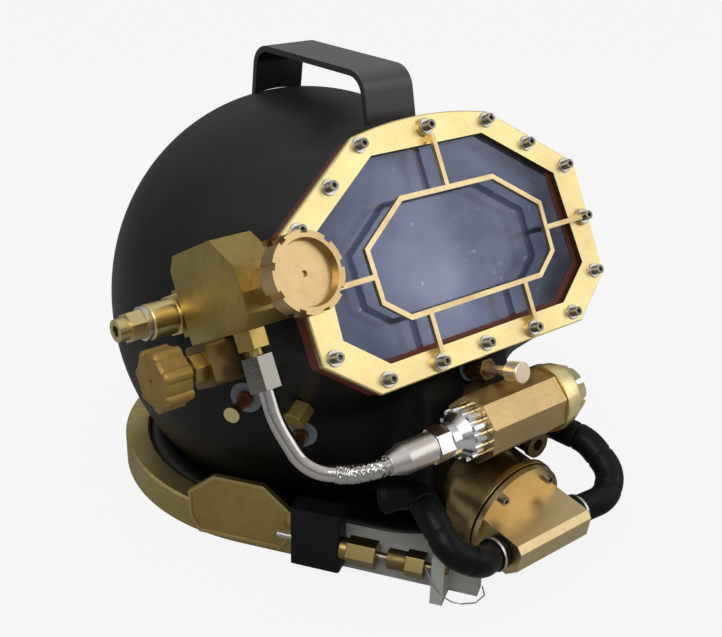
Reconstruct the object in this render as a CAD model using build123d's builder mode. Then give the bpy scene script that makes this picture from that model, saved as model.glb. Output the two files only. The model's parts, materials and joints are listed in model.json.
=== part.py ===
from build123d import *
import os
from math import asin, cos, degrees, radians, sin, sqrt

# Surface-supply diving helmet with brass fittings, in millimetres.
# The face looks towards -Y, +X is the wearer's left, +Z is up, and the origin is the
# centre of the neck opening at the level that the base ring stands on.

os.makedirs("parts", exist_ok=True)

# Clearances shared by many pieces
seat_gap = 0.3
turn_gap = 0.08
cut_overrun = 20.0

# Face plane, which leans back; "out" means along its normal
face_lean_angle = 28.5
face_stand = 17.117
face_rise = 10.272

# Window opening and bezel
window_width = 206.0
window_height = 119.8
window_corner_shares = [(0.224, 0.5), (0.485, 0.2), (0.5, -0.322), (0.365, -0.5)]
bezel_side_rim = 19.4
bezel_end_rim = 14.1
bezel_width = window_width + 2 * bezel_side_rim
bezel_height = window_height + 2 * bezel_end_rim
bezel_corner_shares = [(0.229, 0.492), (0.5, 0.189), (0.493, -0.335), (0.356, -0.508)]
bezel_crown = 5.6
bezel_thickness = 4.0
bezel_edge_round = 0.8
gasket_thickness = 10.0
gasket_inset = 1.0
lens_thickness = 8.0
lens_margin = 4.5

# Port screws with hexagon sockets and their washers
screw_place_shares = [
    (0.0, 0.475), (0.2145, 0.455), (0.3366, 0.318), (0.4567, 0.183),
    (0.4641, -0.0635), (0.4575, -0.314), (0.3292, -0.459), (0.1658, -0.4635), (0.0, -0.456),
]
washer_diameter = 10.0
washer_thickness = 1.0
screw_head_diameter = 6.0
screw_head_height = 4.8
screw_shank_diameter = 4.0
screw_length = 18.0
screw_socket = 3.0
screw_socket_depth = 2.4
screw_clearance = 0.2
screw_hole_overrun = 1.0

# Guard bars in front of the window
guard_bar = 3.2
guard_standoff = 3.2
guard_thickness = 3.0
guard_side_space = 28.9
guard_end_space = 24.7
guard_width = window_width - 2 * guard_side_space
guard_height = window_height - 2 * guard_end_space
guard_corner_shares = [(0.26, 0.475), (0.493, 0.135), (0.488, -0.318), (0.375, -0.5)]
guard_centre_drop = 2.6
guard_foot_thickness = 2.2
guard_foot_share = 1.15
guard_foot_numbers = (0, 4, 7)
guard_post_reach = 7.1

# Shell: a dome, a tower that carries the port, and a chin block
dome_half_width = 141.0
dome_radius = 153.0
dome_back = 24.6
dome_height = 119.8
pole_flat_radius = 6.0
shell_wall = 5.0
shell_base = 24.4
shell_floor = 4.0
neck_flange_radius = 66.0
neck_flange_wall = 4.0
tower_side_step = 3.8
tower_width = bezel_width - 2 * tower_side_step
tower_front_corner_shares = [(0.229, 0.605), (0.5, 0.232), (0.5, -0.412), (0.356, -0.624)]
tower_back_corner_shares = [(0.228, 0.885), (0.5, 0.261), (0.5, -0.413), (0.354, -0.843)]
tower_end_step = 14.7
tower_size = bezel_height - 2 * tower_end_step
tower_depth = 86.0
tower_front_round = 5.0
tower_back_round = 22.0
tower_flange = 6.0
chin_half_width = 38.0
chin_reach = 19.6
chin_front = dome_radius - dome_back + chin_reach
chin_bottom = 28.0
chin_shoulder = 112.0
chin_depth = 60.0
chin_back = chin_front - chin_depth

# Carry handle: a bent strap over the crown
handle_width = 40.0
handle_thickness = 4.0
handle_top = 301.0
handle_front = 49.0
handle_rear = 63.0
handle_front_lean = 22.0
handle_rear_lean = 12.0
handle_bend = 14.0

# Base ring: a band round the back and a dark yoke at the nose, in one egg-shaped plan
ring_radius = 142.0
ring_back = 20.0
nose_radius = 85.0
nose_forward = 88.3
ring_width = 18.0
ring_height = 22.0
ring_edge_round = 1.6
ring_split = 100.0
draw_gap = 5.0
horn_start = 84.0
horn_end = 163.0
horn_width = 11.0

# Rubber neck dam with its rolled rim and neck hole
neck_hole_radius = 52.0
neck_collar_wall = 3.0
neck_collar_height = 24.0
dam_bottom = 0.0
dam_web = 6.0
dam_rim_width = 15.0
dam_rim_height = 22.4
dam_rim_round = 6.5

# Clamp hardware on the left flank: places run along the flank from the ring's tangent
badge_width = 73.0
badge_height = 46.0
badge_thickness = 4.0
badge_place = 2.5
badge_bottom = 5.0
badge_rim = 2.4
badge_recess = 0.8
badge_corner_shares = [(0.24, 0.5), (0.5, 0.16), (0.5, -0.24), (0.4, -0.5)]
rod_radius = 2.5
rod_out = 10.2
rod_height = 22.0
rod_start = 32.0
rod_end = 146.0
block_start = 43.0
block_length = 33.0
block_height = 42.0
block_bottom = 5.5
block_out = 15.5
block_round = 2.0
collar_length = 4.5
collar_radius = 7.0
draw_nut_flats = 16.0
draw_nut_length = 19.0
sleeve_start = 107.0
sleeve_length = 12.0
sleeve_radius = 6.5
end_nut_flats = 15.0
end_nut_length = 12.0
lug_start = 136.5
lug_length = 8.0
lug_height = 34.0

# Side block on the wearer's right, with the valves it carries
block_step = 5.4
block_depth = 28.0
block_back = tower_width / 2 + block_step
block_face = block_back + block_depth
block_base_step = 2.0
block_profile = 72.0
block_front_out = 9.0
side_top = 36.0
side_bottom = 17.8
side_top_chamfer = 18.7
side_small_chamfer = 8.2
boss_length = 29.0
boss_depth = 16.0
boss_outer = block_back + boss_depth
boss_top = 18.0
boss_bottom = 12.0
steady_bore_radius = 5.5
steady_bore_depth = 20.0
inlet_pocket = 8.0

# Inlet adapter, on the boss, towards -X
inlet_out = -95.0
inlet_up = 3.0
inlet_flats = 24.0
inlet_hex_length = 12.0
inlet_radius = 11.0
inlet_barrel_length = 18.0
inlet_bore_radius = 7.0
inlet_end_chamfer = 1.5
inlet_flow_holes = 4
inlet_flow_radius = 1.6
inlet_ring_radius = 10.5
inlet_ring_length = 3.0
union_flats = 17.0
union_hex_length = 10.0
union_tip_radius = 7.0
union_tip_length = 7.0
union_bore_radius = 3.5
poppet_radius = 5.5
poppet_disc = 2.0
poppet_stem_radius = 1.6
poppet_travel = 3.0
poppet_spring_radius = 3.6
poppet_spring_wire = 0.5
inlet_web = 4.0
inlet_web_back = 6.0
inlet_seat_radius = 4.0
inlet_seat_wall = 2.0

# Steady-flow valve, out of the block's front face
steady_place = 12.0
steady_across = block_back + steady_place
steady_up = 2.7
steady_flats = 20.0
steady_hex_length = 17.0
steady_neck_radius = 7.0
steady_neck_length = 12.0
steady_stem_radius = 4.0
steady_stem_depth = 12.0
steady_knob_radius = 22.5
steady_knob_gap = 3.0
steady_knob_length = 12.5
steady_cup_radius = 18.5
steady_cup_depth = 5.0
steady_dimple_radius = 1.8
steady_notches = 9
steady_notch_width = 4.2
steady_notch_depth = 1.8
steady_cup_taper_angle = 12.0
thread_chamfer = 0.8

# Emergency valve, under the block, towards -X
spare_out = -52.0
spare_body_place = 14.0
spare_body_depth = 28.0
spare_body_inner = block_back + spare_body_place
spare_body_outer = spare_body_inner + spare_body_depth
spare_body_size = 25.0
spare_body_round = 3.0
spare_flats = 16.0
spare_hex_length = 8.0
spare_neck_radius = 5.0
spare_neck_length = 6.0
spare_stem_radius = 2.5
spare_stem_depth = 10.0
spare_knob_radius = 18.5
spare_knob_length = 17.0
spare_knob_gap = 1.0
spare_lobes = 7
spare_lobe_radius = 4.2
spare_knob_chamfer = 1.5
spare_bore_radius = 4.0
spare_bore_depth = 14.0

# Outlet and chrome supply tube
outlet_place = 20.0
outlet_across = block_back + outlet_place
outlet_out = -27.0
outlet_flats = 18.0
outlet_hex_length = 11.0
outlet_neck_radius = 5.5
outlet_neck_length = 4.0
tube_nut_flats = 18.0
tube_nut_length = 20.0
tube_radius = 4.75
tube_wall = 1.0
tube_bend_radii = [60.0, 26.0, 38.0, 18.0]

# Regulator under the window, with its axis along X
reg_reach = 26.4
reg_forward = chin_front + reg_reach
reg_height = 110.4
reg_flats = 39.6
reg_half_length = 32.0
reg_bore_radius = 13.0
reg_end_wall = 6.0
reg_mount_radius = 9.0
reg_port_radius = 6.5
drain_across = 28.0
drain_height = 80.0
drain_radius = 7.8
drain_rim_radius = 9.0
drain_length = 30.0
drain_rim_length = 4.0
drain_bore_radius = 4.0
drain_bore_depth = 8.0
cap_radius = 20.5
cap_flange_radius = 22.0
cap_flange_length = 6.0
cap_length = 24.0
cap_nose_radius = 15.5
cap_taper_length = 12.0
cap_slots = 8
cap_slot_width = 3.6
cap_slot_depth = 11.0
cap_spigot_length = 24.0
cap_pin_radius = 1.6
cap_pin_length = 1.6
cap_pin_angle = 245.0
valve_radius = 9.0
valve_disc = 2.5
valve_stem_radius = 2.0
valve_stem_length = 36.0
spring_wire = 0.7
spring_turns = 6
spring_radius = 6.0

# Fittings between the tube and the regulator, from the regulator outwards
coupling_length = 16.0
coupling_radius = 16.5
coupling_scallops = 14
coupling_scallop_radius = 2.4
coupling_cone_length = 6.0
coupling_neck_radius = 9.5
swivel_length = 17.0
swivel_flats = 19.0
swivel_knurl_length = 6.0
swivel_knurl_radius = 10.5
ferrule_length = 33.0
ferrule_radius = 9.5
ferrule_cone_length = 12.0
ferrule_tip_radius = 6.0
ferrule_socket = 14.0
tube_end_reach = 7.5
tube_drop = 72.0
tube_low_step = 7.0
tube_low_reach = 24.4
tube_low_drop = 1.9
tube_turn_step = 26.0
tube_turn_reach = 8.9
tube_turn_drop = 3.2
cap_groove = 1.0
cap_well_radius = 11.0
valve_guide_depth = 10.0
mount_reach = 25.4
mount_inner_end = chin_front - mount_reach
mount_collar_radius = 14.0

# Nose-block device above the regulator
nose_axis_angle = 18.0
nose_seat_back = 9.0
nose_seat_forward = chin_front - nose_seat_back
nose_seat_height = 128.3
nose_seat_reach = 9.5
nose_washer_radius = 8.5
nose_washer_thickness = 1.5
nose_nut_flats = 13.0
nose_nut_length = 6.0
nose_nut_gap = 4.0
nose_stud_radius = 4.5
nose_rod_radius = 3.0
nose_knob_radius = 6.6
nose_knob_length = 11.0
nose_rod_out = 36.0
nose_rod_in = 46.0
nose_pad_radius = 9.0
nose_pad_length = 12.0
nose_stud_inner = 14.0

# Exhaust: barrel, cover with whisker block, and two whisker hoses
exhaust_drop_angle = 8.0
exhaust_height = 49.2
exhaust_base_radius = 26.0
exhaust_base_length = 8.0
exhaust_step_radius = 30.0
exhaust_step_length = 5.0
exhaust_barrel_radius = 34.5
exhaust_barrel_length = 21.0
exhaust_flange_radius = 37.6
exhaust_flange_length = 4.0
exhaust_bore_radius = 20.0
exhaust_flat_clearance = 0.8
cover_radius = 36.4
cover_thickness = 3.6
cover_gap = 1.0
cover_bolt_circle = 31.0
cover_screw_angles = (50.0, 130.0)
cover_screw_head = 3.0
cover_screw_height = 4.0
whisker_block_half = 32.0
whisker_block_top = 13.0
whisker_block_bottom = 12.0
whisker_block_length = 32.0
whisker_block_chamfer = 8.0
whisker_port_radius = 5.0
whisker_port_out = 59.0
flap_radius = 18.0
flap_thickness = 1.5
flow_circle_share = 0.6
cover_spigot = 4.0
hose_clip_start = 5.0
hose_radius = 9.2
hose_bore_radius = 7.0
hose_cuff_radius = 10.2
hose_cuff_length = 9.0
hose_bend_radii = [17.0, 15.5, 17.0, 30.0, 16.0]
hose_route_steps = [
    (24.7, -7.6, 6.0), (40.7, 1.4, 15.0), (38.7, 22.4, 30.0), (32.2, 41.4, 33.0), (43.7, 59.4, 25.0),
]
stub_length = 8.0
stub_radius = 6.6
hose_clip_width = 2.0
hose_clip_wall = 0.8
exhaust_web = 3.0
exhaust_holes = 6
exhaust_hole_radius = 4.0
flap_stem_radius = 2.0

# Comms posts, washers and the hexagon plug, low on the shell's right front
post_radius = 3.2
post_length = 20.0
post_cap_radius = 5.2
post_cap_length = 3.5
post_washer_radius = 10.5
post_washer_thickness = 1.5
plug_flats = 14.0
plug_length = 9.0
plug_back_share = 0.62
plug_down_share = 0.5
post_place_angles = [(55.8, -3.0), (42.3, -11.6)]

# Inside: head cushion, mask, earphones and microphone
cushion_back = 30.0
cushion_bottom = 92.0
cushion_top = 236.0
head_half_width = 88.0
head_radius = 100.0
head_back = 6.0
head_height = 148.0
mask_stand = 30.0
mask_front = chin_front - mask_stand
mask_nipple_radius = 6.2
mask_nipple_length = 10.0
mask_depth = 38.0
mask_rear = mask_front - mask_depth
mask_front_half_width = 30.0
mask_front_half_height = 26.0
mask_rear_half_width = 44.0
mask_rear_half_height = 36.0
mask_height = 110.4
mask_wall = 2.5
ear_cup_radius = 27.0
ear_across = 92.0
ear_height = 140.0
ear_forward = 8.0
mic_radius = 5.5
mic_length = 8.0
mic_across = 14.0
mic_down = 11.0

face_sin = sin(radians(face_lean_angle))
face_cos = cos(radians(face_lean_angle))
face_normal = Vector(0, -face_cos, face_sin)
face_forward = (dome_radius + face_stand) * face_cos - face_rise * face_sin - dome_back
face_height = (dome_radius + face_stand) * face_sin + face_rise * face_cos + dome_height


def face_point(across, up, out):
    """Point given by its place across, up and out of the face plane."""
    return Vector(
        across,
        -face_forward + up * face_sin - out * face_cos,
        face_height + up * face_cos + out * face_sin,
    )


def face_plane(out, across=0, up=0):
    """Plane parallel to the window, with its normal out of the face."""
    return Plane(origin=face_point(across, up, out), x_dir=(1, 0, 0), z_dir=face_normal)


def side_plane(across, out=0, up=0):
    """Plane that looks to -X, with its x along the face's normal and its y up the face."""
    return Plane(origin=face_point(-across, up, out), x_dir=face_normal, z_dir=(-1, 0, 0))


def drop_plane(across, up, out):
    """Plane that looks down along the face, under the side block."""
    return Plane(origin=face_point(-across, up, out), x_dir=(1, 0, 0), z_dir=(0, -face_sin, -face_cos))


def outline(width, height, corner_shares, crown=0):
    """Draw an eight-cornered outline, alike left and right, with an optional crowned top."""
    right = [(across * width, up * height) for across, up in corner_shares]
    left = [(-across, up) for across, up in reversed(right)]
    corners = right + left
    with BuildLine() as boundary:
        Polyline(*corners)
        if crown:
            ThreePointArc(corners[-1], (0, corners[0][1] + crown), corners[0])
        else:
            Line(corners[-1], corners[0])
    make_face(boundary.edges())


def round_bar(plane, radius, length, mode=Mode.ADD):
    """Round bar that starts on the plane and runs along its normal."""
    with BuildSketch(plane) as section:
        Circle(radius)
    extrude(section.sketch, amount=length, mode=mode)


def hex_bar(plane, across_flats, length, mode=Mode.ADD):
    """Hexagon bar that starts on the plane and runs along its normal."""
    with BuildSketch(plane) as section:
        RegularPolygon(radius=across_flats / 2, side_count=6, major_radius=False)
    extrude(section.sketch, amount=length, mode=mode)


def finish_piece(piece, label):
    """Name the piece and write it to its own file."""
    piece.part.label = label
    export_step(piece.part, f"parts/{label}.step")


# Where the parts of the port stack begin, out of the face plane
bezel_floor = -bezel_thickness
gasket_floor = bezel_floor - gasket_thickness
lens_floor = bezel_floor - seat_gap - lens_thickness
screw_depth = screw_length - washer_thickness + screw_hole_overrun
foot_radius = washer_diameter / 2 * guard_foot_share
handle_leg_foot = dome_height + dome_radius / 2
foot_places = []
plain_places = []
for number, (across_share, up_share) in enumerate(screw_place_shares):
    for side in ((1,) if across_share == 0 else (1, -1)):
        place = (side * across_share * bezel_width, up_share * bezel_height)
        if number in guard_foot_numbers:
            foot_places.append(place)
        else:
            plain_places.append(place)
screw_places = foot_places + plain_places
screw_groups = ((0, plain_places), (guard_foot_thickness, foot_places))


def egg_form(centre, half_width, radius, mode=Mode.ADD):
    """Ellipse turned about the X axis, with a small flat where the axis comes out."""
    flat_angle = degrees(asin(pole_flat_radius / radius))
    flat_across = half_width * cos(radians(flat_angle))
    with BuildSketch(Plane(origin=centre)) as section:
        with BuildLine():
            EllipticalCenterArc(
                (0, 0), half_width, radius, start_angle=flat_angle, arc_size=180 - 2 * flat_angle)
            Polyline(
                (-flat_across, pole_flat_radius), (-flat_across, 0),
                (flat_across, 0), (flat_across, pole_flat_radius),
            )
        make_face()
    revolve(section.sketch, axis=Axis(centre, (1, 0, 0)), mode=mode)


def dome(grow, mode=Mode.ADD):
    """The head's egg-shaped dome, larger by grow all round."""
    egg_form((0, dome_back, dome_height), dome_half_width + grow, dome_radius + grow, mode)


def tower(grow, front, back, mode=Mode.ADD):
    """Port tower, an eight-sided loft between two places out of the face plane."""
    with BuildSketch(face_plane(front)) as front_face:
        outline(tower_width, tower_size, tower_front_corner_shares, bezel_crown)
        fillet(front_face.vertices(), tower_front_round)
        offset(amount=grow, kind=Kind.INTERSECTION, mode=Mode.REPLACE)
    with BuildSketch(face_plane(back)) as back_face:
        outline(tower_width, tower_size, tower_back_corner_shares, bezel_crown)
        fillet(back_face.vertices(), tower_back_round)
        offset(amount=grow, kind=Kind.INTERSECTION, mode=Mode.REPLACE)
    loft([front_face.sketch.face(), back_face.sketch.face()], ruled=True, mode=mode)


# Nose-block axis: it rises forwards through a sloping seat on the chin block
nose_sin = sin(radians(nose_axis_angle))
nose_cos = cos(radians(nose_axis_angle))
nose_direction = Vector(0, -nose_cos, nose_sin)
nose_seat = Vector(0, -nose_seat_forward, nose_seat_height)


def nose_plane(out):
    """Plane across the nose-block axis, out from its seat."""
    return Plane(origin=nose_seat + nose_direction * out, x_dir=(1, 0, 0), z_dir=nose_direction)


# Exhaust axis: it drops a little as it runs forwards from the chin block
exhaust_sin = sin(radians(exhaust_drop_angle))
exhaust_cos = cos(radians(exhaust_drop_angle))
exhaust_direction = Vector(0, -exhaust_cos, -exhaust_sin)
exhaust_base = Vector(0, -chin_front, exhaust_height)


def exhaust_plane(out):
    """Plane across the exhaust axis, with its y upwards."""
    return Plane(origin=exhaust_base + exhaust_direction * out, x_dir=(1, 0, 0), z_dir=exhaust_direction)


def cover_screw_plane(screw_angle, out):
    """Plane at one cover screw, out along the exhaust axis."""
    across = cos(radians(screw_angle)) * cover_bolt_circle
    up = sin(radians(screw_angle)) * cover_bolt_circle
    place = exhaust_plane(out)
    return Plane(origin=place.from_local_coords((across, up, 0)), x_dir=(1, 0, 0), z_dir=exhaust_direction)


def mask_plane(forward, across=0, up=0):
    """Plane across the mask's axis, looking towards the face inside."""
    return Plane(origin=(across, -forward, mask_height + up), x_dir=(1, 0, 0), z_dir=(0, 1, 0))


def reg_back_plane(forward):
    """Plane across the regulator's mount, looking back to +Y."""
    return Plane(origin=(0, -forward, reg_height), x_dir=(1, 0, 0), z_dir=(0, 1, 0))


def reg_plane(across):
    """Plane across the regulator's axis, looking to +X."""
    return Plane(origin=(across, -reg_forward, reg_height), x_dir=(0, 1, 0), z_dir=(1, 0, 0))


# Nose-block seat on the chin block, as seen from the side
seat_low_forward = nose_seat_forward + nose_seat_reach * nose_sin
seat_low_height = nose_seat_height - nose_seat_reach * nose_cos
seat_top_forward = nose_seat_forward - nose_seat_reach * nose_sin
seat_top_height = nose_seat_height + nose_seat_reach * nose_cos


def dome_place(azimuth_angle, rise_angle):
    """Point and outward direction on the dome, by angles to the left of the nose and up."""
    across = -sin(radians(azimuth_angle)) * cos(radians(rise_angle))
    forward = -cos(radians(azimuth_angle)) * cos(radians(rise_angle))
    rise = sin(radians(rise_angle))
    place = Vector(
        across * dome_half_width,
        dome_back + forward * dome_radius,
        dome_height + rise * dome_radius,
    )
    normal = Vector(across / dome_half_width, forward / dome_radius, rise / dome_radius)
    return Plane(origin=place, z_dir=normal.normalized())


def plug_place():
    """Plane on the tower's lower left facet, where the hexagon plug sits."""
    hip_share = tower_front_corner_shares[2]
    sill_share = tower_back_corner_shares[3]
    front_hip = face_point(-hip_share[0] * tower_width, hip_share[1] * tower_size, gasket_floor)
    tower_floor = gasket_floor - tower_depth
    back_hip = face_point(-hip_share[0] * tower_width, hip_share[1] * tower_size, tower_floor)
    back_sill = face_point(-sill_share[0] * tower_width, sill_share[1] * tower_size, tower_floor)
    along = back_hip - front_hip
    across = back_sill - front_hip
    normal = along.cross(across).normalized()
    if normal.Z > 0:
        normal = -normal
    place = front_hip + along * plug_back_share + (back_sill - back_hip) * plug_down_share
    return Plane(origin=place, z_dir=normal)


def flat_floor(height):
    """Cut away everything below a height."""
    with BuildSketch(Plane.XY.offset(height)) as below:
        Rectangle(dome_radius * 3, dome_radius * 3)
    extrude(below.sketch, amount=-dome_radius, mode=Mode.SUBTRACT)


# Shell: the hollow is made by itself, then taken out of the outer form
with BuildPart() as cavity:
    dome(-shell_wall)
    flat_floor(shell_base + shell_floor)
    tower(-shell_wall, gasket_floor - tower_flange, gasket_floor - tower_depth)

with BuildPart() as shell:
    dome(0)
    flat_floor(shell_base)
    tower(0, gasket_floor, gasket_floor - tower_depth)
    with BuildSketch(Plane.YZ):
        Polygon(
            (-chin_back, chin_bottom), (-chin_front, chin_bottom), (-chin_front, chin_shoulder),
            (-seat_low_forward, seat_low_height), (-seat_top_forward, seat_top_height),
            (-chin_back, seat_top_height), align=None,
        )
    extrude(amount=chin_half_width, both=True)
    add(cavity.part, mode=Mode.SUBTRACT)
    with BuildSketch(face_plane(gasket_floor)):
        outline(window_width, window_height, window_corner_shares)
    extrude(amount=-cut_overrun, mode=Mode.SUBTRACT)
    with BuildSketch(face_plane(gasket_floor)):
        with Locations(*screw_places):
            Circle(screw_shank_diameter / 2 + screw_clearance)
    extrude(amount=-screw_depth - gasket_floor, mode=Mode.SUBTRACT)
    round_bar(nose_plane(cut_overrun), nose_stud_radius + screw_clearance, -cut_overrun * 3, Mode.SUBTRACT)
    round_bar(reg_back_plane(chin_front + cut_overrun), reg_mount_radius + seat_gap,
              cut_overrun * 3, Mode.SUBTRACT)
    round_bar(exhaust_plane(cut_overrun), exhaust_bore_radius, -cut_overrun * 4, Mode.SUBTRACT)
    round_bar(nose_plane(0), nose_washer_radius + seat_gap, cut_overrun, Mode.SUBTRACT)
    for angles in post_place_angles:
        round_bar(dome_place(*angles), post_radius + screw_clearance, -cut_overrun, Mode.SUBTRACT)
        round_bar(dome_place(*angles), post_washer_radius + seat_gap, cut_overrun, Mode.SUBTRACT)
    round_bar(Plane.XY.offset(shell_base - cut_overrun), neck_flange_radius - neck_flange_wall,
              cut_overrun * 2, Mode.SUBTRACT)
    with BuildSketch(Plane.XY.offset(dam_bottom + dam_web + seat_gap)):
        Circle(neck_flange_radius)
        Circle(neck_flange_radius - neck_flange_wall, mode=Mode.SUBTRACT)
    extrude(amount=shell_base - dam_bottom - dam_web - seat_gap)
finish_piece(shell, "shell")

# Port stack: gasket with its pocket, lens, bezel, guard, screws and washers
with BuildPart() as port_gasket:
    with BuildSketch(face_plane(gasket_floor)):
        outline(bezel_width, bezel_height, bezel_corner_shares, bezel_crown)
        offset(amount=-gasket_inset, kind=Kind.INTERSECTION)
    extrude(amount=gasket_thickness)
    with BuildSketch(face_plane(gasket_floor)):
        outline(window_width, window_height, window_corner_shares)
    extrude(amount=gasket_thickness, mode=Mode.SUBTRACT)
    with BuildSketch(face_plane(lens_floor - seat_gap)):
        outline(window_width, window_height, window_corner_shares)
        offset(amount=lens_margin + seat_gap, kind=Kind.INTERSECTION)
    extrude(amount=gasket_thickness, mode=Mode.SUBTRACT)
    with BuildSketch(face_plane(bezel_floor)):
        with Locations(*screw_places):
            Circle(screw_shank_diameter / 2 + screw_clearance)
    extrude(amount=-gasket_thickness, mode=Mode.SUBTRACT)
finish_piece(port_gasket, "port_gasket")

with BuildPart() as face_lens:
    with BuildSketch(face_plane(lens_floor)):
        outline(window_width, window_height, window_corner_shares)
        offset(amount=lens_margin, kind=Kind.INTERSECTION)
    extrude(amount=lens_thickness)
finish_piece(face_lens, "face_lens")

with BuildPart() as bezel:
    with BuildSketch(face_plane(bezel_floor)):
        outline(bezel_width, bezel_height, bezel_corner_shares, bezel_crown)
    extrude(amount=bezel_thickness)
    chamfer(bezel.faces().sort_by(Axis(face_point(0, 0, 0), face_normal))[-1].edges(), bezel_edge_round)
    with BuildSketch(face_plane(bezel_floor)):
        outline(window_width, window_height, window_corner_shares)
    extrude(amount=bezel_thickness, mode=Mode.SUBTRACT)
    with BuildSketch(face_plane(0)):
        with Locations(*screw_places):
            Circle(screw_shank_diameter / 2 + screw_clearance)
    extrude(amount=-bezel_thickness, mode=Mode.SUBTRACT)
finish_piece(bezel, "bezel")


def guard_bar_between(start, end, floor, height):
    """Straight bar of the guard along one axis of the face plane."""
    middle = ((start[0] + end[0]) / 2, (start[1] + end[1]) / 2)
    with BuildSketch(face_plane(floor, *middle)) as section:
        Rectangle(abs(end[0] - start[0]) + guard_bar, abs(end[1] - start[1]) + guard_bar)
    extrude(section.sketch, amount=height)


guard_front = guard_standoff + guard_thickness
guard_top = guard_corner_shares[0][1] * guard_height - guard_centre_drop
guard_low = guard_corner_shares[3][1] * guard_height - guard_centre_drop
guard_side = (guard_corner_shares[1][0] + guard_corner_shares[2][0]) / 2 * guard_width
with BuildPart() as guard:
    with BuildSketch(face_plane(guard_standoff, 0, -guard_centre_drop)):
        outline(guard_width, guard_height, guard_corner_shares)
        offset(amount=guard_bar / 2, kind=Kind.INTERSECTION)
    extrude(amount=guard_thickness)
    with BuildSketch(face_plane(guard_standoff, 0, -guard_centre_drop)):
        outline(guard_width, guard_height, guard_corner_shares)
        offset(amount=-guard_bar / 2, kind=Kind.INTERSECTION)
    extrude(amount=guard_thickness, mode=Mode.SUBTRACT)
    for across, up in foot_places:
        if across == 0:
            root = (0, guard_top)
            post = (0, up - guard_post_reach)
        elif up > guard_low:
            root = (guard_side if across > 0 else -guard_side, up)
            post = (across - guard_post_reach if across > 0 else across + guard_post_reach, up)
        else:
            root = (across, guard_low)
            post = (across, up + guard_post_reach)
        guard_bar_between(root, post, guard_standoff, guard_thickness)
        guard_bar_between(post, post, 0, guard_front)
        round_bar(face_plane(0, across, up), foot_radius, guard_foot_thickness)
    with BuildSketch(face_plane(0)):
        with Locations(*foot_places):
            Circle(screw_shank_diameter / 2 + screw_clearance)
    extrude(amount=guard_foot_thickness, mode=Mode.SUBTRACT)
finish_piece(guard, "guard")

with BuildPart() as port_screws:
    for seat, places in screw_groups:
        with BuildSketch(face_plane(seat + washer_thickness)):
            with Locations(*places):
                Circle(screw_head_diameter / 2)
        extrude(amount=screw_head_height)
        with BuildSketch(face_plane(seat + washer_thickness)):
            with Locations(*places):
                Circle(screw_shank_diameter / 2)
        extrude(amount=-screw_length)
        with BuildSketch(face_plane(seat + washer_thickness + screw_head_height)):
            with Locations(*places):
                RegularPolygon(radius=screw_socket / 2, side_count=6, major_radius=False)
        extrude(amount=-screw_socket_depth, mode=Mode.SUBTRACT)
finish_piece(port_screws, "port_screws")

with BuildPart() as port_washers:
    for seat, places in screw_groups:
        with BuildSketch(face_plane(seat)):
            with Locations(*places):
                Circle(washer_diameter / 2)
                Circle(screw_shank_diameter / 2 + screw_clearance, mode=Mode.SUBTRACT)
        extrude(amount=washer_thickness)
finish_piece(port_washers, "port_washers")

# Carry handle: its legs end on the dome and the tower
with BuildPart() as carry_handle:
    with BuildSketch(Plane.YZ):
        with BuildLine():
            FilletPolyline(
                (-handle_front - handle_front_lean, handle_leg_foot),
                (-handle_front, handle_top - handle_thickness / 2),
                (handle_rear, handle_top - handle_thickness / 2),
                (handle_rear + handle_rear_lean, handle_leg_foot),
                radius=handle_bend,
            )
        trace(line_width=handle_thickness)
    extrude(amount=handle_width / 2, both=True)
    dome(seat_gap, mode=Mode.SUBTRACT)
    tower(seat_gap, gasket_floor, gasket_floor - tower_depth, mode=Mode.SUBTRACT)
finish_piece(carry_handle, "carry_handle")


def egg(grow):
    """Egg-shaped plan of the base ring: the hull of a large and a smaller circle."""
    with BuildLine() as circles:
        CenterArc((0, ring_back), ring_radius + grow, 0, 360)
        CenterArc((0, -nose_forward), nose_radius + grow, 0, 360)
    make_hull(circles.edges())


def egg_ring():
    """The base ring before it is split: the egg-shaped plan with its inside taken out."""
    with BuildSketch() as outer:
        egg(0)
    extrude(outer.sketch, amount=ring_height)
    with BuildSketch() as inner:
        egg(-ring_width)
    extrude(inner.sketch, amount=ring_height, mode=Mode.SUBTRACT)


# Flank of the ring: it leaves the large circle at flank_start and runs towards the nose
flank_sine = (ring_radius - nose_radius) / (ring_back + nose_forward)
flank_cosine = sqrt(1 - flank_sine ** 2)
flank_along = Vector(flank_sine, -flank_cosine, 0)
flank_normal = Vector(-flank_cosine, -flank_sine, 0)
flank_start = Vector(0, ring_back, 0) + flank_normal * ring_radius


def flank_point(along, out, height):
    """Point by its place along the left flank, out of it and above the base."""
    return flank_start + flank_along * along + flank_normal * out + Vector(0, 0, height)


def flank_plane(along, out, height):
    """Plane on the left flank that looks outwards, with its x towards the nose."""
    return Plane(origin=flank_point(along, out, height), x_dir=flank_along, z_dir=flank_normal)


def rod_plane(along):
    """Plane across the draw rod, looking towards the nose."""
    return Plane(origin=flank_point(along, rod_out, rod_height), x_dir=flank_normal, z_dir=flank_along)


with BuildPart() as neck_band:
    egg_ring()
    chamfer(neck_band.faces().sort_by(Axis.Z)[-1].edges(), ring_edge_round)
    split(bisect_by=Plane.XZ.offset(ring_split), keep=Keep.BOTTOM)
finish_piece(neck_band, "neck_band")

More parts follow.
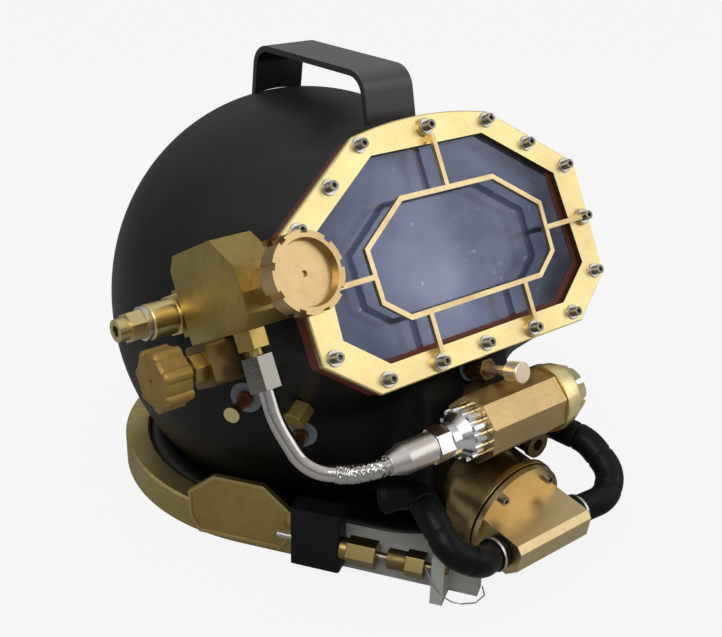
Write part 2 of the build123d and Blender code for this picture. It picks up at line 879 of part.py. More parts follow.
with BuildPart() as nose_yoke:
    egg_ring()
    chamfer(nose_yoke.faces().sort_by(Axis.Z)[-1].edges(), ring_edge_round)
    split(bisect_by=Plane.XZ.offset(ring_split), keep=Keep.TOP)
    with BuildSketch():
        with Locations((-ring_radius, -ring_split)):
            Rectangle(ring_radius, draw_gap * 2)
    extrude(amount=ring_height, mode=Mode.SUBTRACT)
    with BuildSketch(flank_plane(horn_start, 0, 0)):
        Rectangle(horn_end - horn_start, ring_height, align=Align.MIN)
    extrude(amount=-horn_width)
    with BuildSketch(flank_plane(lug_start, -horn_width, 0)):
        Rectangle(lug_length, lug_height, align=Align.MIN)
    extrude(amount=horn_width + rod_out + sleeve_radius)
    round_bar(rod_plane(lug_start - cut_overrun), rod_radius + screw_clearance,
              lug_length + cut_overrun * 2, Mode.SUBTRACT)
    round_bar(exhaust_plane(-cut_overrun), exhaust_flange_radius + seat_gap * 3,
              cut_overrun * 5, Mode.SUBTRACT)
finish_piece(nose_yoke, "nose_yoke")

# Rubber dam: a web under the shell, a rolled rim inside the band, and the neck collar
with BuildPart() as neck_dam:
    with BuildSketch(Plane.XY.offset(dam_bottom)):
        egg(-ring_width - seat_gap)
    extrude(amount=dam_rim_height - dam_bottom)
    with BuildSketch(Plane.XY.offset(dam_bottom + dam_web)):
        egg(-ring_width - seat_gap - dam_rim_width)
    extrude(amount=dam_rim_height, mode=Mode.SUBTRACT)
    fillet(neck_dam.faces().sort_by(Axis.Z)[-1].edges(), dam_rim_round)
    round_bar(Plane.XY.offset(dam_bottom), neck_hole_radius + neck_collar_wall, neck_collar_height)
    round_bar(Plane.XY, neck_hole_radius, dam_bottom + neck_collar_height, Mode.SUBTRACT)
finish_piece(neck_dam, "neck_dam")

# Clamp hardware on the left flank
with BuildPart() as badge_plate:
    with BuildSketch(flank_plane(badge_place, seat_gap, badge_bottom + badge_height / 2)):
        outline(badge_width, badge_height, badge_corner_shares)
    extrude(amount=badge_thickness)
    with BuildSketch(flank_plane(badge_place, seat_gap + badge_thickness, badge_bottom + badge_height / 2)):
        outline(badge_width, badge_height, badge_corner_shares)
        offset(amount=-badge_rim, kind=Kind.INTERSECTION)
    extrude(amount=-badge_recess, mode=Mode.SUBTRACT)
finish_piece(badge_plate, "badge_plate")

with BuildPart() as draw_rod:
    round_bar(rod_plane(rod_start), rod_radius, rod_end - rod_start)
    chamfer(draw_rod.edges().filter_by(GeomType.CIRCLE), rod_radius / 4)
finish_piece(draw_rod, "draw_rod")

with BuildPart() as rod_guide_block:
    with BuildSketch(flank_plane(block_start, seat_gap, block_bottom)):
        Rectangle(block_length, block_height, align=Align.MIN)
    extrude(amount=block_out - seat_gap)
    fillet(rod_guide_block.edges().filter_by(Axis.Z), block_round)
    round_bar(rod_plane(block_start - cut_overrun), rod_radius + screw_clearance,
              block_length + cut_overrun * 2, Mode.SUBTRACT)
finish_piece(rod_guide_block, "rod_guide_block")

collar_start = block_start + block_length
draw_nut_start = collar_start + collar_length + seat_gap
with BuildPart() as rod_collar:
    round_bar(rod_plane(collar_start), collar_radius, collar_length)
    round_bar(rod_plane(collar_start), rod_radius + screw_clearance, collar_length, Mode.SUBTRACT)
finish_piece(rod_collar, "rod_collar")

with BuildPart() as draw_nut:
    hex_bar(rod_plane(draw_nut_start), draw_nut_flats, draw_nut_length)
    round_bar(rod_plane(draw_nut_start), rod_radius + turn_gap, draw_nut_length, Mode.SUBTRACT)
finish_piece(draw_nut, "draw_nut")

with BuildPart() as rod_sleeve:
    round_bar(rod_plane(sleeve_start), sleeve_radius, sleeve_length)
    round_bar(rod_plane(sleeve_start), rod_radius + screw_clearance, sleeve_length, Mode.SUBTRACT)
finish_piece(rod_sleeve, "rod_sleeve")

end_nut_start = sleeve_start + sleeve_length + seat_gap
with BuildPart() as rod_end_nut:
    hex_bar(rod_plane(end_nut_start), end_nut_flats, end_nut_length)
    round_bar(rod_plane(end_nut_start), rod_radius + screw_clearance, end_nut_length, Mode.SUBTRACT)
finish_piece(rod_end_nut, "rod_end_nut")

# Side block: chamfered profile seen from -X, a base against the tower, and a rear boss
block_front = -block_front_out
block_rear = block_front - block_profile
with BuildPart() as side_block:
    with BuildSketch(side_plane(block_back)):
        Polygon(
            (block_rear, side_top - side_small_chamfer),
            (block_rear + side_small_chamfer, side_top),
            (block_front - side_top_chamfer, side_top),
            (block_front, side_top - side_top_chamfer),
            (block_front, side_small_chamfer - side_bottom),
            (block_front - side_small_chamfer, -side_bottom),
            (block_rear, -side_bottom), align=None,
        )
    extrude(amount=block_face - block_back)
    with BuildSketch(side_plane(tower_width / 2 - cut_overrun)):
        Polygon(
            (block_rear, side_top - side_small_chamfer),
            (gasket_floor - block_base_step, side_top - side_small_chamfer),
            (gasket_floor - block_base_step, -side_bottom), (block_rear, -side_bottom), align=None,
        )
    extrude(amount=block_back - tower_width / 2 + cut_overrun)
    with BuildSketch(side_plane(tower_width / 2 - cut_overrun)):
        Polygon(
            (block_rear - boss_length, boss_top), (block_rear, boss_top),
            (block_rear, -boss_bottom), (block_rear - boss_length, -boss_bottom), align=None,
        )
    extrude(amount=boss_outer - tower_width / 2 + cut_overrun)
    dome(seat_gap, mode=Mode.SUBTRACT)
    tower(seat_gap, gasket_floor, gasket_floor - tower_depth, mode=Mode.SUBTRACT)
    round_bar(face_plane(block_front, -steady_across, steady_up), steady_bore_radius,
              -steady_bore_depth, Mode.SUBTRACT)
    round_bar(side_plane(boss_outer, inlet_out, inlet_up), inlet_bore_radius,
              -inlet_pocket, Mode.SUBTRACT)
    round_bar(drop_plane(outlet_across, -side_bottom, outlet_out), tube_radius,
              -side_bottom, Mode.SUBTRACT)
finish_piece(side_block, "side_block")

# Inlet adapter with its non-return valve, its ring and the union that the supply joins
inlet_barrel_start = boss_outer + inlet_hex_length
inlet_end = inlet_barrel_start + inlet_barrel_length
inlet_seat = inlet_end - inlet_seat_wall
web_end = boss_outer + inlet_web_back + inlet_web


def inlet_plane(across):
    """Plane across the inlet's axis, looking to -X."""
    return side_plane(across, inlet_out, inlet_up)


with BuildPart() as inlet_adapter:
    hex_bar(inlet_plane(boss_outer), inlet_flats, inlet_hex_length)
    round_bar(inlet_plane(inlet_barrel_start), inlet_radius, inlet_barrel_length)
    chamfer(inlet_adapter.faces().sort_by(Axis.X)[0].edges(), inlet_end_chamfer)
    round_bar(inlet_plane(boss_outer), inlet_bore_radius, inlet_web_back, Mode.SUBTRACT)
    round_bar(inlet_plane(web_end), inlet_bore_radius, inlet_seat - web_end, Mode.SUBTRACT)
    round_bar(inlet_plane(boss_outer), poppet_stem_radius + turn_gap, web_end - boss_outer, Mode.SUBTRACT)
    round_bar(inlet_plane(web_end), inlet_seat_radius, inlet_end - web_end, Mode.SUBTRACT)
    with BuildSketch(inlet_plane(boss_outer)):
        with PolarLocations((inlet_bore_radius + poppet_stem_radius) / 2, inlet_flow_holes):
            Circle(inlet_flow_radius)
    extrude(amount=web_end - boss_outer, mode=Mode.SUBTRACT)
finish_piece(inlet_adapter, "inlet_adapter")

with BuildPart() as inlet_ring:
    round_bar(inlet_plane(inlet_end), inlet_ring_radius, inlet_ring_length)
    round_bar(inlet_plane(inlet_end), union_bore_radius, inlet_ring_length, Mode.SUBTRACT)
finish_piece(inlet_ring, "inlet_ring")

union_start = inlet_end + inlet_ring_length
with BuildPart() as inlet_union:
    hex_bar(inlet_plane(union_start), union_flats, union_hex_length)
    round_bar(inlet_plane(union_start + union_hex_length), union_tip_radius, union_tip_length)
    round_bar(inlet_plane(union_start), union_bore_radius, union_hex_length + union_tip_length, Mode.SUBTRACT)
finish_piece(inlet_union, "inlet_union")

poppet_face = inlet_seat - turn_gap
poppet_back = poppet_face - poppet_disc
poppet_stem_end = boss_outer + inlet_web_back - poppet_travel / 2
with BuildPart() as non_return_poppet:
    round_bar(inlet_plane(poppet_back), poppet_radius, poppet_disc)
    round_bar(inlet_plane(poppet_stem_end), poppet_stem_radius, poppet_back - poppet_stem_end)
finish_piece(non_return_poppet, "non_return_poppet")


def coil_spring(start_plane, radius, wire, length, turns):
    """Coil spring that starts on the plane and runs along its normal."""
    with BuildLine() as coil:
        Helix(pitch=length / turns, height=length, radius=radius,
              center=start_plane.origin, direction=start_plane.z_dir)
    with BuildSketch(Plane(origin=coil.line @ 0, z_dir=coil.line % 0)) as section:
        Circle(wire)
    sweep(section.sketch, path=coil.line)


with BuildPart() as non_return_spring:
    coil_spring(inlet_plane(web_end + poppet_spring_wire + seat_gap), poppet_spring_radius,
                poppet_spring_wire, poppet_back - web_end - (poppet_spring_wire + seat_gap) * 2, spring_turns)
finish_piece(non_return_spring, "non_return_spring")

# Steady-flow valve: bonnet and neck on the block's front, knob and stem in one
steady_neck_end = block_front + steady_hex_length + steady_neck_length
steady_knob_start = steady_neck_end + steady_knob_gap


def steady_plane(out):
    """Plane across the steady-flow valve's axis, looking out of the face."""
    return face_plane(out, -steady_across, steady_up)


with BuildPart() as steady_bonnet:
    hex_bar(steady_plane(block_front), steady_flats, steady_hex_length)
    round_bar(steady_plane(block_front + steady_hex_length), steady_neck_radius, steady_neck_length)
    chamfer(steady_bonnet.faces().sort_by(Axis(face_point(0, 0, 0), face_normal))[-1].edges(), thread_chamfer)
    round_bar(steady_plane(block_front), steady_stem_radius + turn_gap,
              steady_hex_length + steady_neck_length, Mode.SUBTRACT)
finish_piece(steady_bonnet, "steady_bonnet")

with BuildPart() as steady_knob:
    with BuildSketch(steady_plane(steady_knob_start)):
        Circle(steady_knob_radius)
        with PolarLocations(steady_knob_radius, steady_notches):
            Rectangle(steady_notch_depth * 2, steady_notch_width, mode=Mode.SUBTRACT)
    extrude(amount=steady_knob_length)
    with BuildSketch(steady_plane(steady_knob_start + steady_knob_length)):
        Circle(steady_cup_radius)
    extrude(amount=-steady_cup_depth, taper=steady_cup_taper_angle, mode=Mode.SUBTRACT)
    round_bar(steady_plane(steady_knob_start + steady_knob_length - steady_cup_depth),
              steady_dimple_radius, -steady_dimple_radius, Mode.SUBTRACT)
    round_bar(steady_plane(steady_knob_start), steady_neck_radius, -steady_knob_gap + seat_gap)
    round_bar(steady_plane(steady_knob_start), steady_stem_radius,
              block_front - steady_stem_depth - steady_knob_start)
finish_piece(steady_knob, "steady_knob")

# Emergency valve under the block
spare_up = -side_bottom - spare_body_size / 2
spare_hex_end = spare_body_outer + spare_hex_length
spare_neck_end = spare_hex_end + spare_neck_length
spare_knob_start = spare_neck_end + spare_knob_gap


def spare_plane(across):
    """Plane across the emergency valve's axis, looking to -X."""
    return side_plane(across, spare_out, spare_up)


with BuildPart() as emergency_body:
    with BuildSketch(spare_plane(spare_body_inner)):
        RectangleRounded(spare_body_size, spare_body_size, spare_body_round)
    extrude(amount=spare_body_outer - spare_body_inner)
    round_bar(spare_plane(spare_body_outer), spare_bore_radius, -spare_bore_depth, Mode.SUBTRACT)
finish_piece(emergency_body, "emergency_body")

with BuildPart() as emergency_bonnet:
    hex_bar(spare_plane(spare_body_outer), spare_flats, spare_hex_length)
    round_bar(spare_plane(spare_hex_end), spare_neck_radius, spare_neck_length)
    round_bar(spare_plane(spare_body_outer), spare_stem_radius + turn_gap,
              spare_hex_length + spare_neck_length, Mode.SUBTRACT)
finish_piece(emergency_bonnet, "emergency_bonnet")

with BuildPart() as emergency_knob:
    with BuildSketch(spare_plane(spare_knob_start)):
        Circle(spare_knob_radius - spare_lobe_radius / 2)
        with PolarLocations(spare_knob_radius - spare_lobe_radius, spare_lobes):
            Circle(spare_lobe_radius)
    extrude(amount=spare_knob_length)
    chamfer(emergency_knob.faces().sort_by(Axis.X)[0].edges(), spare_knob_chamfer)
    round_bar(spare_plane(spare_knob_start + spare_knob_length), steady_dimple_radius,
              -steady_dimple_radius, Mode.SUBTRACT)
    round_bar(spare_plane(spare_knob_start), spare_stem_radius,
              spare_body_outer - spare_stem_depth - spare_knob_start)
finish_piece(emergency_knob, "emergency_knob")

# Outlet, tube nut and the chrome tube round to the regulator
outlet_neck_start = side_bottom + outlet_hex_length
tube_nut_start = outlet_neck_start + outlet_neck_length


def outlet_plane(down):
    """Plane across the outlet's axis, looking down along the face."""
    return drop_plane(outlet_across, -down, outlet_out)


with BuildPart() as outlet_fitting:
    hex_bar(outlet_plane(side_bottom), outlet_flats, outlet_hex_length)
    round_bar(outlet_plane(outlet_neck_start), outlet_neck_radius, outlet_neck_length)
    round_bar(outlet_plane(side_bottom), tube_radius - tube_wall,
              outlet_hex_length + outlet_neck_length, Mode.SUBTRACT)
finish_piece(outlet_fitting, "outlet_fitting")

with BuildPart() as tube_nut:
    hex_bar(outlet_plane(tube_nut_start), tube_nut_flats, tube_nut_length)
    round_bar(outlet_plane(tube_nut_start), tube_radius + screw_clearance, tube_nut_length, Mode.SUBTRACT)
finish_piece(tube_nut, "tube_nut")

ferrule_start = reg_half_length + coupling_length + swivel_length + seat_gap * 2
tube_end = ferrule_start + ferrule_length - ferrule_socket
tube_points = [
    face_point(-outlet_across, -tube_nut_start - seat_gap, outlet_out),
    face_point(-outlet_across, -tube_drop, outlet_out),
    Vector(tube_low_step - outlet_across, tube_low_reach - reg_forward, reg_height - tube_low_drop),
    Vector(tube_turn_step - outlet_across, tube_turn_reach - reg_forward, reg_height - tube_turn_drop),
    Vector(-ferrule_start - ferrule_length - tube_end_reach, -reg_forward, reg_height),
    Vector(-tube_end, -reg_forward, reg_height),
]
with BuildPart() as supply_tube:
    with BuildLine() as tube_path:
        FilletPolyline(*tube_points, radius=tube_bend_radii)
    with BuildSketch(Plane(origin=tube_path.line @ 0, z_dir=tube_path.line % 0)):
        Circle(tube_radius)
        Circle(tube_radius - tube_wall, mode=Mode.SUBTRACT)
    sweep(path=tube_path.line)
finish_piece(supply_tube, "supply_tube")

# Regulator: octagonal body, mount tube and drain stub on the chin block, cap and demand valve
reg_back_face = reg_forward - reg_flats / 2


def drain_plane(out):
    """Plane across the drain stub beside the mount, looking forwards from the chin block."""
    return Plane(origin=(drain_across, -chin_front - out, drain_height), x_dir=(1, 0, 0), z_dir=(0, -1, 0))


with BuildPart() as regulator_body:
    with BuildSketch(reg_plane(-reg_half_length)):
        RegularPolygon(radius=reg_flats / 2, side_count=8, major_radius=False, rotation=22.5)
    extrude(amount=reg_half_length * 2)
    round_bar(reg_plane(reg_end_wall - reg_half_length), reg_bore_radius, reg_half_length * 2, Mode.SUBTRACT)
    round_bar(reg_plane(-reg_half_length), tube_radius - tube_wall, reg_end_wall, Mode.SUBTRACT)
    round_bar(reg_back_plane(reg_forward), reg_port_radius, reg_flats, Mode.SUBTRACT)
finish_piece(regulator_body, "regulator_body")

with BuildPart() as regulator_mount:
    with BuildSketch(reg_back_plane(reg_back_face)):
        Circle(reg_mount_radius)
        Circle(reg_port_radius, mode=Mode.SUBTRACT)
    extrude(amount=reg_back_face - mount_inner_end)
    with BuildSketch(reg_back_plane(reg_back_face)):
        Circle(mount_collar_radius)
        Circle(reg_port_radius, mode=Mode.SUBTRACT)
    extrude(amount=reg_back_face - chin_front)
    round_bar(drain_plane(0), drain_radius, drain_length)
    round_bar(drain_plane(drain_length - drain_rim_length), drain_rim_radius, drain_rim_length)
    round_bar(drain_plane(drain_length), drain_bore_radius, -drain_bore_depth, Mode.SUBTRACT)
finish_piece(regulator_mount, "regulator_mount")

cap_start = reg_half_length + seat_gap


def cap_pin_plane():
    """Plane inside the cap's rim at its detent pin, looking outwards."""
    out = Vector(0, cos(radians(cap_pin_angle)), sin(radians(cap_pin_angle)))
    centre = Vector(cap_start + cap_flange_length + cap_pin_radius * 2, -reg_forward, reg_height)
    return Plane(origin=centre + out * (cap_radius - cap_pin_length), x_dir=(1, 0, 0), z_dir=out)


with BuildPart() as adjusting_cap:
    with BuildSketch(Plane.XY.offset(reg_height)):
        with BuildLine():
            Polyline(
                (cap_start, -reg_forward), (cap_start, -reg_forward - cap_flange_radius),
                (cap_start + cap_flange_length - cap_groove, -reg_forward - cap_flange_radius),
                (cap_start + cap_flange_length, -reg_forward - cap_radius),
                (cap_start + cap_length - cap_taper_length, -reg_forward - cap_radius),
                (cap_start + cap_length, -reg_forward - cap_nose_radius),
                (cap_start + cap_length, -reg_forward), close=True,
            )
        make_face()
    revolve(axis=Axis((0, -reg_forward, reg_height), (1, 0, 0)))
    round_bar(reg_plane(cap_start + cap_length), cap_well_radius, -cap_slot_depth, Mode.SUBTRACT)
    with BuildSketch(reg_plane(cap_start + cap_length)):
        with PolarLocations(cap_radius, cap_slots):
            Rectangle(cap_radius * 2 - cap_well_radius, cap_slot_width)
    extrude(amount=-cap_slot_depth, mode=Mode.SUBTRACT)
    round_bar(cap_pin_plane(), cap_pin_radius, cap_pin_length * 2)
    round_bar(reg_plane(cap_start), reg_bore_radius - turn_gap, -cap_spigot_length)
    round_bar(reg_plane(cap_start - cap_spigot_length), valve_stem_radius + turn_gap,
              valve_guide_depth, Mode.SUBTRACT)
finish_piece(adjusting_cap, "adjusting_cap")

valve_seat = reg_end_wall - reg_half_length + turn_gap
with BuildPart() as demand_poppet:
    round_bar(reg_plane(valve_seat), valve_radius, valve_disc)
    round_bar(reg_plane(valve_seat + valve_disc), valve_stem_radius, valve_stem_length)
finish_piece(demand_poppet, "demand_poppet")

with BuildPart() as demand_spring:
    demand_spring_start = valve_seat + valve_disc + spring_wire + seat_gap
    coil_spring(reg_plane(demand_spring_start), spring_radius, spring_wire,
                cap_start - cap_spigot_length - spring_wire - seat_gap - demand_spring_start, spring_turns)
finish_piece(demand_spring, "demand_spring")

# Fittings on the regulator's supply end, outwards along -X


def supply_plane(across):
    """Plane across the regulator's axis on its supply side, looking to -X."""
    return Plane(origin=(-across, -reg_forward, reg_height), x_dir=(0, -1, 0), z_dir=(-1, 0, 0))


with BuildPart() as coupling_nut:
    with BuildSketch(supply_plane(reg_half_length + seat_gap)):
        Circle(coupling_radius)
        with PolarLocations(coupling_radius, coupling_scallops):
            Circle(coupling_scallop_radius, mode=Mode.SUBTRACT)
    extrude(amount=coupling_length - coupling_cone_length)
    with BuildSketch(supply_plane(reg_half_length + seat_gap + coupling_length - coupling_cone_length)):
        Circle(coupling_radius - coupling_scallop_radius)
    with BuildSketch(supply_plane(reg_half_length + seat_gap + coupling_length)):
        Circle(coupling_neck_radius)
    loft()
    round_bar(supply_plane(reg_half_length + seat_gap), tube_radius - tube_wall,
              coupling_length, Mode.SUBTRACT)
finish_piece(coupling_nut, "coupling_nut")

swivel_start = reg_half_length + coupling_length + seat_gap
with BuildPart() as swivel_nut:
    round_bar(supply_plane(swivel_start), swivel_knurl_radius, swivel_knurl_length)
    hex_bar(supply_plane(swivel_start + swivel_knurl_length), swivel_flats, swivel_length - swivel_knurl_length)
    round_bar(supply_plane(swivel_start), tube_radius - tube_wall, swivel_length, Mode.SUBTRACT)
finish_piece(swivel_nut, "swivel_nut")

with BuildPart() as tube_ferrule:
    with BuildSketch(Plane.XY.offset(reg_height)):
        with BuildLine():
            Polyline(
                (-ferrule_start, -reg_forward), (-ferrule_start, -reg_forward - ferrule_radius),
                (-ferrule_start - ferrule_length + ferrule_cone_length, -reg_forward - ferrule_radius),
                (-ferrule_start - ferrule_length, -reg_forward - ferrule_tip_radius),
                (-ferrule_start - ferrule_length, -reg_forward), close=True,
            )
        make_face()
    revolve(axis=Axis((0, -reg_forward, reg_height), (1, 0, 0)))
    round_bar(supply_plane(ferrule_start), tube_radius - tube_wall, ferrule_length, Mode.SUBTRACT)
    round_bar(supply_plane(tube_end), tube_radius + screw_clearance, ferrule_socket, Mode.SUBTRACT)
finish_piece(tube_ferrule, "tube_ferrule")

# Nose-block device: washer, nuts, hollow stud, sliding rod with its knob, and the pad
with BuildPart() as nose_washer:
    round_bar(nose_plane(0), nose_washer_radius, nose_washer_thickness)
    round_bar(nose_plane(0), nose_stud_radius + screw_clearance, nose_washer_thickness, Mode.SUBTRACT)
finish_piece(nose_washer, "nose_washer")

nose_second_nut = nose_washer_thickness + nose_nut_length + nose_nut_gap
nose_stud_end = nose_second_nut + nose_nut_length
with BuildPart() as nose_nuts:
    for start in (nose_washer_thickness, nose_second_nut):
        hex_bar(nose_plane(start), nose_nut_flats, nose_nut_length)
    round_bar(nose_plane(0), nose_stud_radius + screw_clearance, nose_stud_end, Mode.SUBTRACT)
finish_piece(nose_nuts, "nose_nuts")

with BuildPart() as nose_stud:
    round_bar(nose_plane(nose_stud_end), nose_stud_radius, -nose_stud_end - nose_stud_inner)
    round_bar(nose_plane(nose_stud_end), nose_rod_radius + turn_gap,
              -nose_stud_end - nose_stud_inner, Mode.SUBTRACT)
finish_piece(nose_stud, "nose_stud")

with BuildPart() as nose_rod:
    round_bar(nose_plane(nose_rod_out), nose_knob_radius, nose_knob_length)
    chamfer(nose_rod.edges().filter_by(GeomType.CIRCLE), nose_knob_radius / 12)
    round_bar(nose_plane(nose_rod_out), nose_rod_radius, -nose_rod_out - nose_rod_in)
finish_piece(nose_rod, "nose_rod")

with BuildPart() as nose_pad:
    round_bar(nose_plane(-nose_rod_in - nose_pad_length / 2), nose_pad_radius, nose_pad_length)
    fillet(nose_pad.edges().filter_by(GeomType.CIRCLE), nose_pad_length / 4)
    round_bar(nose_plane(-nose_rod_in), nose_rod_radius, nose_pad_length, Mode.SUBTRACT)
finish_piece(nose_pad, "nose_pad")

# Exhaust: turned body with its valve web, the flap, and the cover with the whisker block
exhaust_step_start = exhaust_base_length
exhaust_barrel_start = exhaust_step_start + exhaust_step_length
exhaust_flange_start = exhaust_barrel_start + exhaust_barrel_length
exhaust_end = exhaust_flange_start + exhaust_flange_length
exhaust_web_front = exhaust_barrel_start
with BuildPart() as exhaust_body:
    round_bar(exhaust_plane(-exhaust_base_length), exhaust_base_radius, exhaust_base_length * 2)
    round_bar(exhaust_plane(exhaust_step_start), exhaust_step_radius, exhaust_step_length)
    round_bar(exhaust_plane(exhaust_barrel_start), exhaust_barrel_radius, exhaust_barrel_length)
    with BuildSketch(Plane.XY.offset(ring_height + exhaust_flat_clearance)):
        with Locations((0, -chin_front)):
            Rectangle(exhaust_flange_radius * 3, exhaust_flange_radius * 3)
    extrude(amount=-ring_height * 2, mode=Mode.SUBTRACT)
    round_bar(exhaust_plane(exhaust_flange_start), exhaust_flange_radius, exhaust_flange_length)
    with BuildSketch(Plane.XZ.offset(chin_front)):
        with Locations((0, exhaust_height)):
            Rectangle(exhaust_flange_radius * 3, exhaust_flange_radius * 3)
    extrude(amount=-cut_overrun, mode=Mode.SUBTRACT)
    round_bar(exhaust_plane(exhaust_end), exhaust_bore_radius, exhaust_web_front - exhaust_end, Mode.SUBTRACT)
    round_bar(exhaust_plane(exhaust_web_front - exhaust_web), exhaust_bore_radius, -cut_overrun, Mode.SUBTRACT)
    with BuildSketch(exhaust_plane(exhaust_web_front)):
        Circle(flap_stem_radius + screw_clearance)
        with PolarLocations(exhaust_bore_radius * flow_circle_share, exhaust_holes):
            Circle(exhaust_hole_radius)
    extrude(amount=-cut_overrun, mode=Mode.SUBTRACT)
finish_piece(exhaust_body, "exhaust_body")

with BuildPart() as exhaust_flap:
    round_bar(exhaust_plane(exhaust_web_front + seat_gap), flap_radius, flap_thickness)
    round_bar(exhaust_plane(exhaust_web_front + seat_gap), flap_stem_radius, -exhaust_web_front)
finish_piece(exhaust_flap, "exhaust_flap")

cover_start = exhaust_end + cover_gap
cover_front = cover_start + cover_thickness
with BuildPart() as whisker_block:
    round_bar(exhaust_plane(cover_start), cover_radius, cover_thickness)
    with BuildSketch(Plane(origin=exhaust_plane(0).origin, x_dir=exhaust_direction, z_dir=(1, 0, 0))):
        Polygon(
            (cover_start, whisker_block_top), (cover_start, -whisker_block_bottom),
            (cover_front + whisker_block_length - whisker_block_chamfer / 2, -whisker_block_bottom),
            (cover_front + whisker_block_length, -whisker_block_bottom + whisker_block_chamfer / 2),
            (cover_front + whisker_block_length, whisker_block_top - whisker_block_chamfer),
            (cover_front + whisker_block_length - whisker_block_chamfer, whisker_block_top), align=None,
        )
    extrude(amount=whisker_block_half, both=True)
    with BuildSketch(Plane(origin=exhaust_plane(whisker_port_out).origin, x_dir=(0, 1, 0), z_dir=(1, 0, 0))):
        Circle(stub_radius)
    extrude(amount=whisker_block_half + stub_length, both=True)
    round_bar(exhaust_plane(cover_start), exhaust_bore_radius - screw_clearance, -cover_spigot)
    round_bar(exhaust_plane(cover_start - cover_spigot), whisker_port_radius * 2,
              whisker_port_out - cover_start + cover_spigot, Mode.SUBTRACT)
    with BuildSketch(Plane(origin=exhaust_plane(whisker_port_out).origin, x_dir=(0, 1, 0), z_dir=(1, 0, 0))):
        Circle(whisker_port_radius)
    extrude(amount=whisker_block_half + stub_length, both=True, mode=Mode.SUBTRACT)
    for screw_angle in cover_screw_angles:
        round_bar(cover_screw_plane(screw_angle, cover_front), screw_shank_diameter / 2 + screw_clearance,
                  -cover_thickness, Mode.SUBTRACT)
finish_piece(whisker_block, "whisker_block")

with BuildPart() as cover_screws:
    for screw_angle in cover_screw_angles:
        round_bar(cover_screw_plane(screw_angle, cover_front), cover_screw_head, cover_screw_height)
        round_bar(cover_screw_plane(screw_angle, cover_front), screw_shank_diameter / 2,
                  -cover_thickness - cover_gap)
        hex_bar(cover_screw_plane(screw_angle, cover_front + cover_screw_height), screw_socket,
                -screw_socket_depth, Mode.SUBTRACT)
finish_piece(cover_screws, "cover_screws")

port_centre = exhaust_plane(whisker_port_out).origin
hose_start = Vector(whisker_block_half + seat_gap, port_centre.Y, port_centre.Z)
hose_points = [hose_start, hose_start + Vector(stub_length, 0, 0)]
hose_points += [hose_start + Vector(*step) for step in hose_route_steps]


def whisker_hose(side):
    """Whisker hose on one side, with a thicker cuff at the block and at the free end."""
    points = [Vector(side * point.X, point.Y, point.Z) for point in hose_points]
    with BuildLine() as path:
        FilletPolyline(*points, radius=hose_bend_radii)
    with BuildSketch(Plane(origin=path.line @ 0, z_dir=path.line % 0)) as section:
        Circle(hose_radius)
        Circle(hose_bore_radius, mode=Mode.SUBTRACT)
    sweep(section.sketch, path=path.line)
    for place, inwards in ((0, 1), (1, -1)):
        cuff_plane = Plane(origin=path.line @ place, z_dir=(path.line % place) * inwards)
        with BuildSketch(cuff_plane) as cuff:
            Circle(hose_cuff_radius)
            Circle(hose_radius - turn_gap, mode=Mode.SUBTRACT)
        extrude(cuff.sketch, amount=hose_cuff_length if place == 0 else hose_cuff_length / 2)


for side, label in ((-1, "whisker_right"), (1, "whisker_left")):
    with BuildPart() as hose:
        whisker_hose(side)
    finish_piece(hose, label)

with BuildPart() as hose_clips:
    for side in (-1, 1):
        clip_plane = Plane(
            origin=(side * (whisker_block_half + hose_clip_start), port_centre.Y, port_centre.Z),
            x_dir=(0, 1, 0), z_dir=(side, 0, 0),
        )
        with BuildSketch(clip_plane):
            Circle(hose_cuff_radius + turn_gap + hose_clip_wall)
            Circle(hose_cuff_radius + turn_gap, mode=Mode.SUBTRACT)
        extrude(amount=hose_clip_width)
finish_piece(hose_clips, "hose_clips")

# Comms posts with their washers, and the hexagon plug
with BuildPart() as comms_washers:
    for angles in post_place_angles:
        round_bar(dome_place(*angles), post_washer_radius, post_washer_thickness)
        round_bar(dome_place(*angles), post_radius + screw_clearance, post_washer_thickness, Mode.SUBTRACT)
finish_piece(comms_washers, "comms_washers")

for number, angles in enumerate(post_place_angles, start=1):
    with BuildPart() as post:
        round_bar(dome_place(*angles), post_radius, post_length)
        round_bar(dome_place(*angles), post_radius, -shell_wall * 2)
        round_bar(dome_place(*angles).offset(post_washer_thickness), post_cap_radius, post_cap_length)
        round_bar(dome_place(*angles).offset(post_length), post_cap_radius, post_cap_length)
    finish_piece(post, f"comms_post_{number}")

with BuildPart() as comms_plug:
    hex_bar(plug_place().offset(plug_length), plug_flats, -plug_length * 2)
    dome(seat_gap, mode=Mode.SUBTRACT)
    tower(seat_gap, gasket_floor, gasket_floor - tower_depth, mode=Mode.SUBTRACT)
finish_piece(comms_plug, "comms_plug")

# Inside the helmet: head cushion, oral-nasal mask, earphones and microphone
with BuildPart() as head_cushion:
    with BuildSketch(Plane.XY.offset(cushion_bottom)):
        with Locations((0, cushion_back + dome_radius)):
            Rectangle(dome_half_width * 2, dome_radius * 2)
    extrude(amount=cushion_top - cushion_bottom)
    dome(-shell_wall - seat_gap, mode=Mode.INTERSECT)
    egg_form((0, head_back, head_height), head_half_width, head_radius, Mode.SUBTRACT)
finish_piece(head_cushion, "head_cushion")

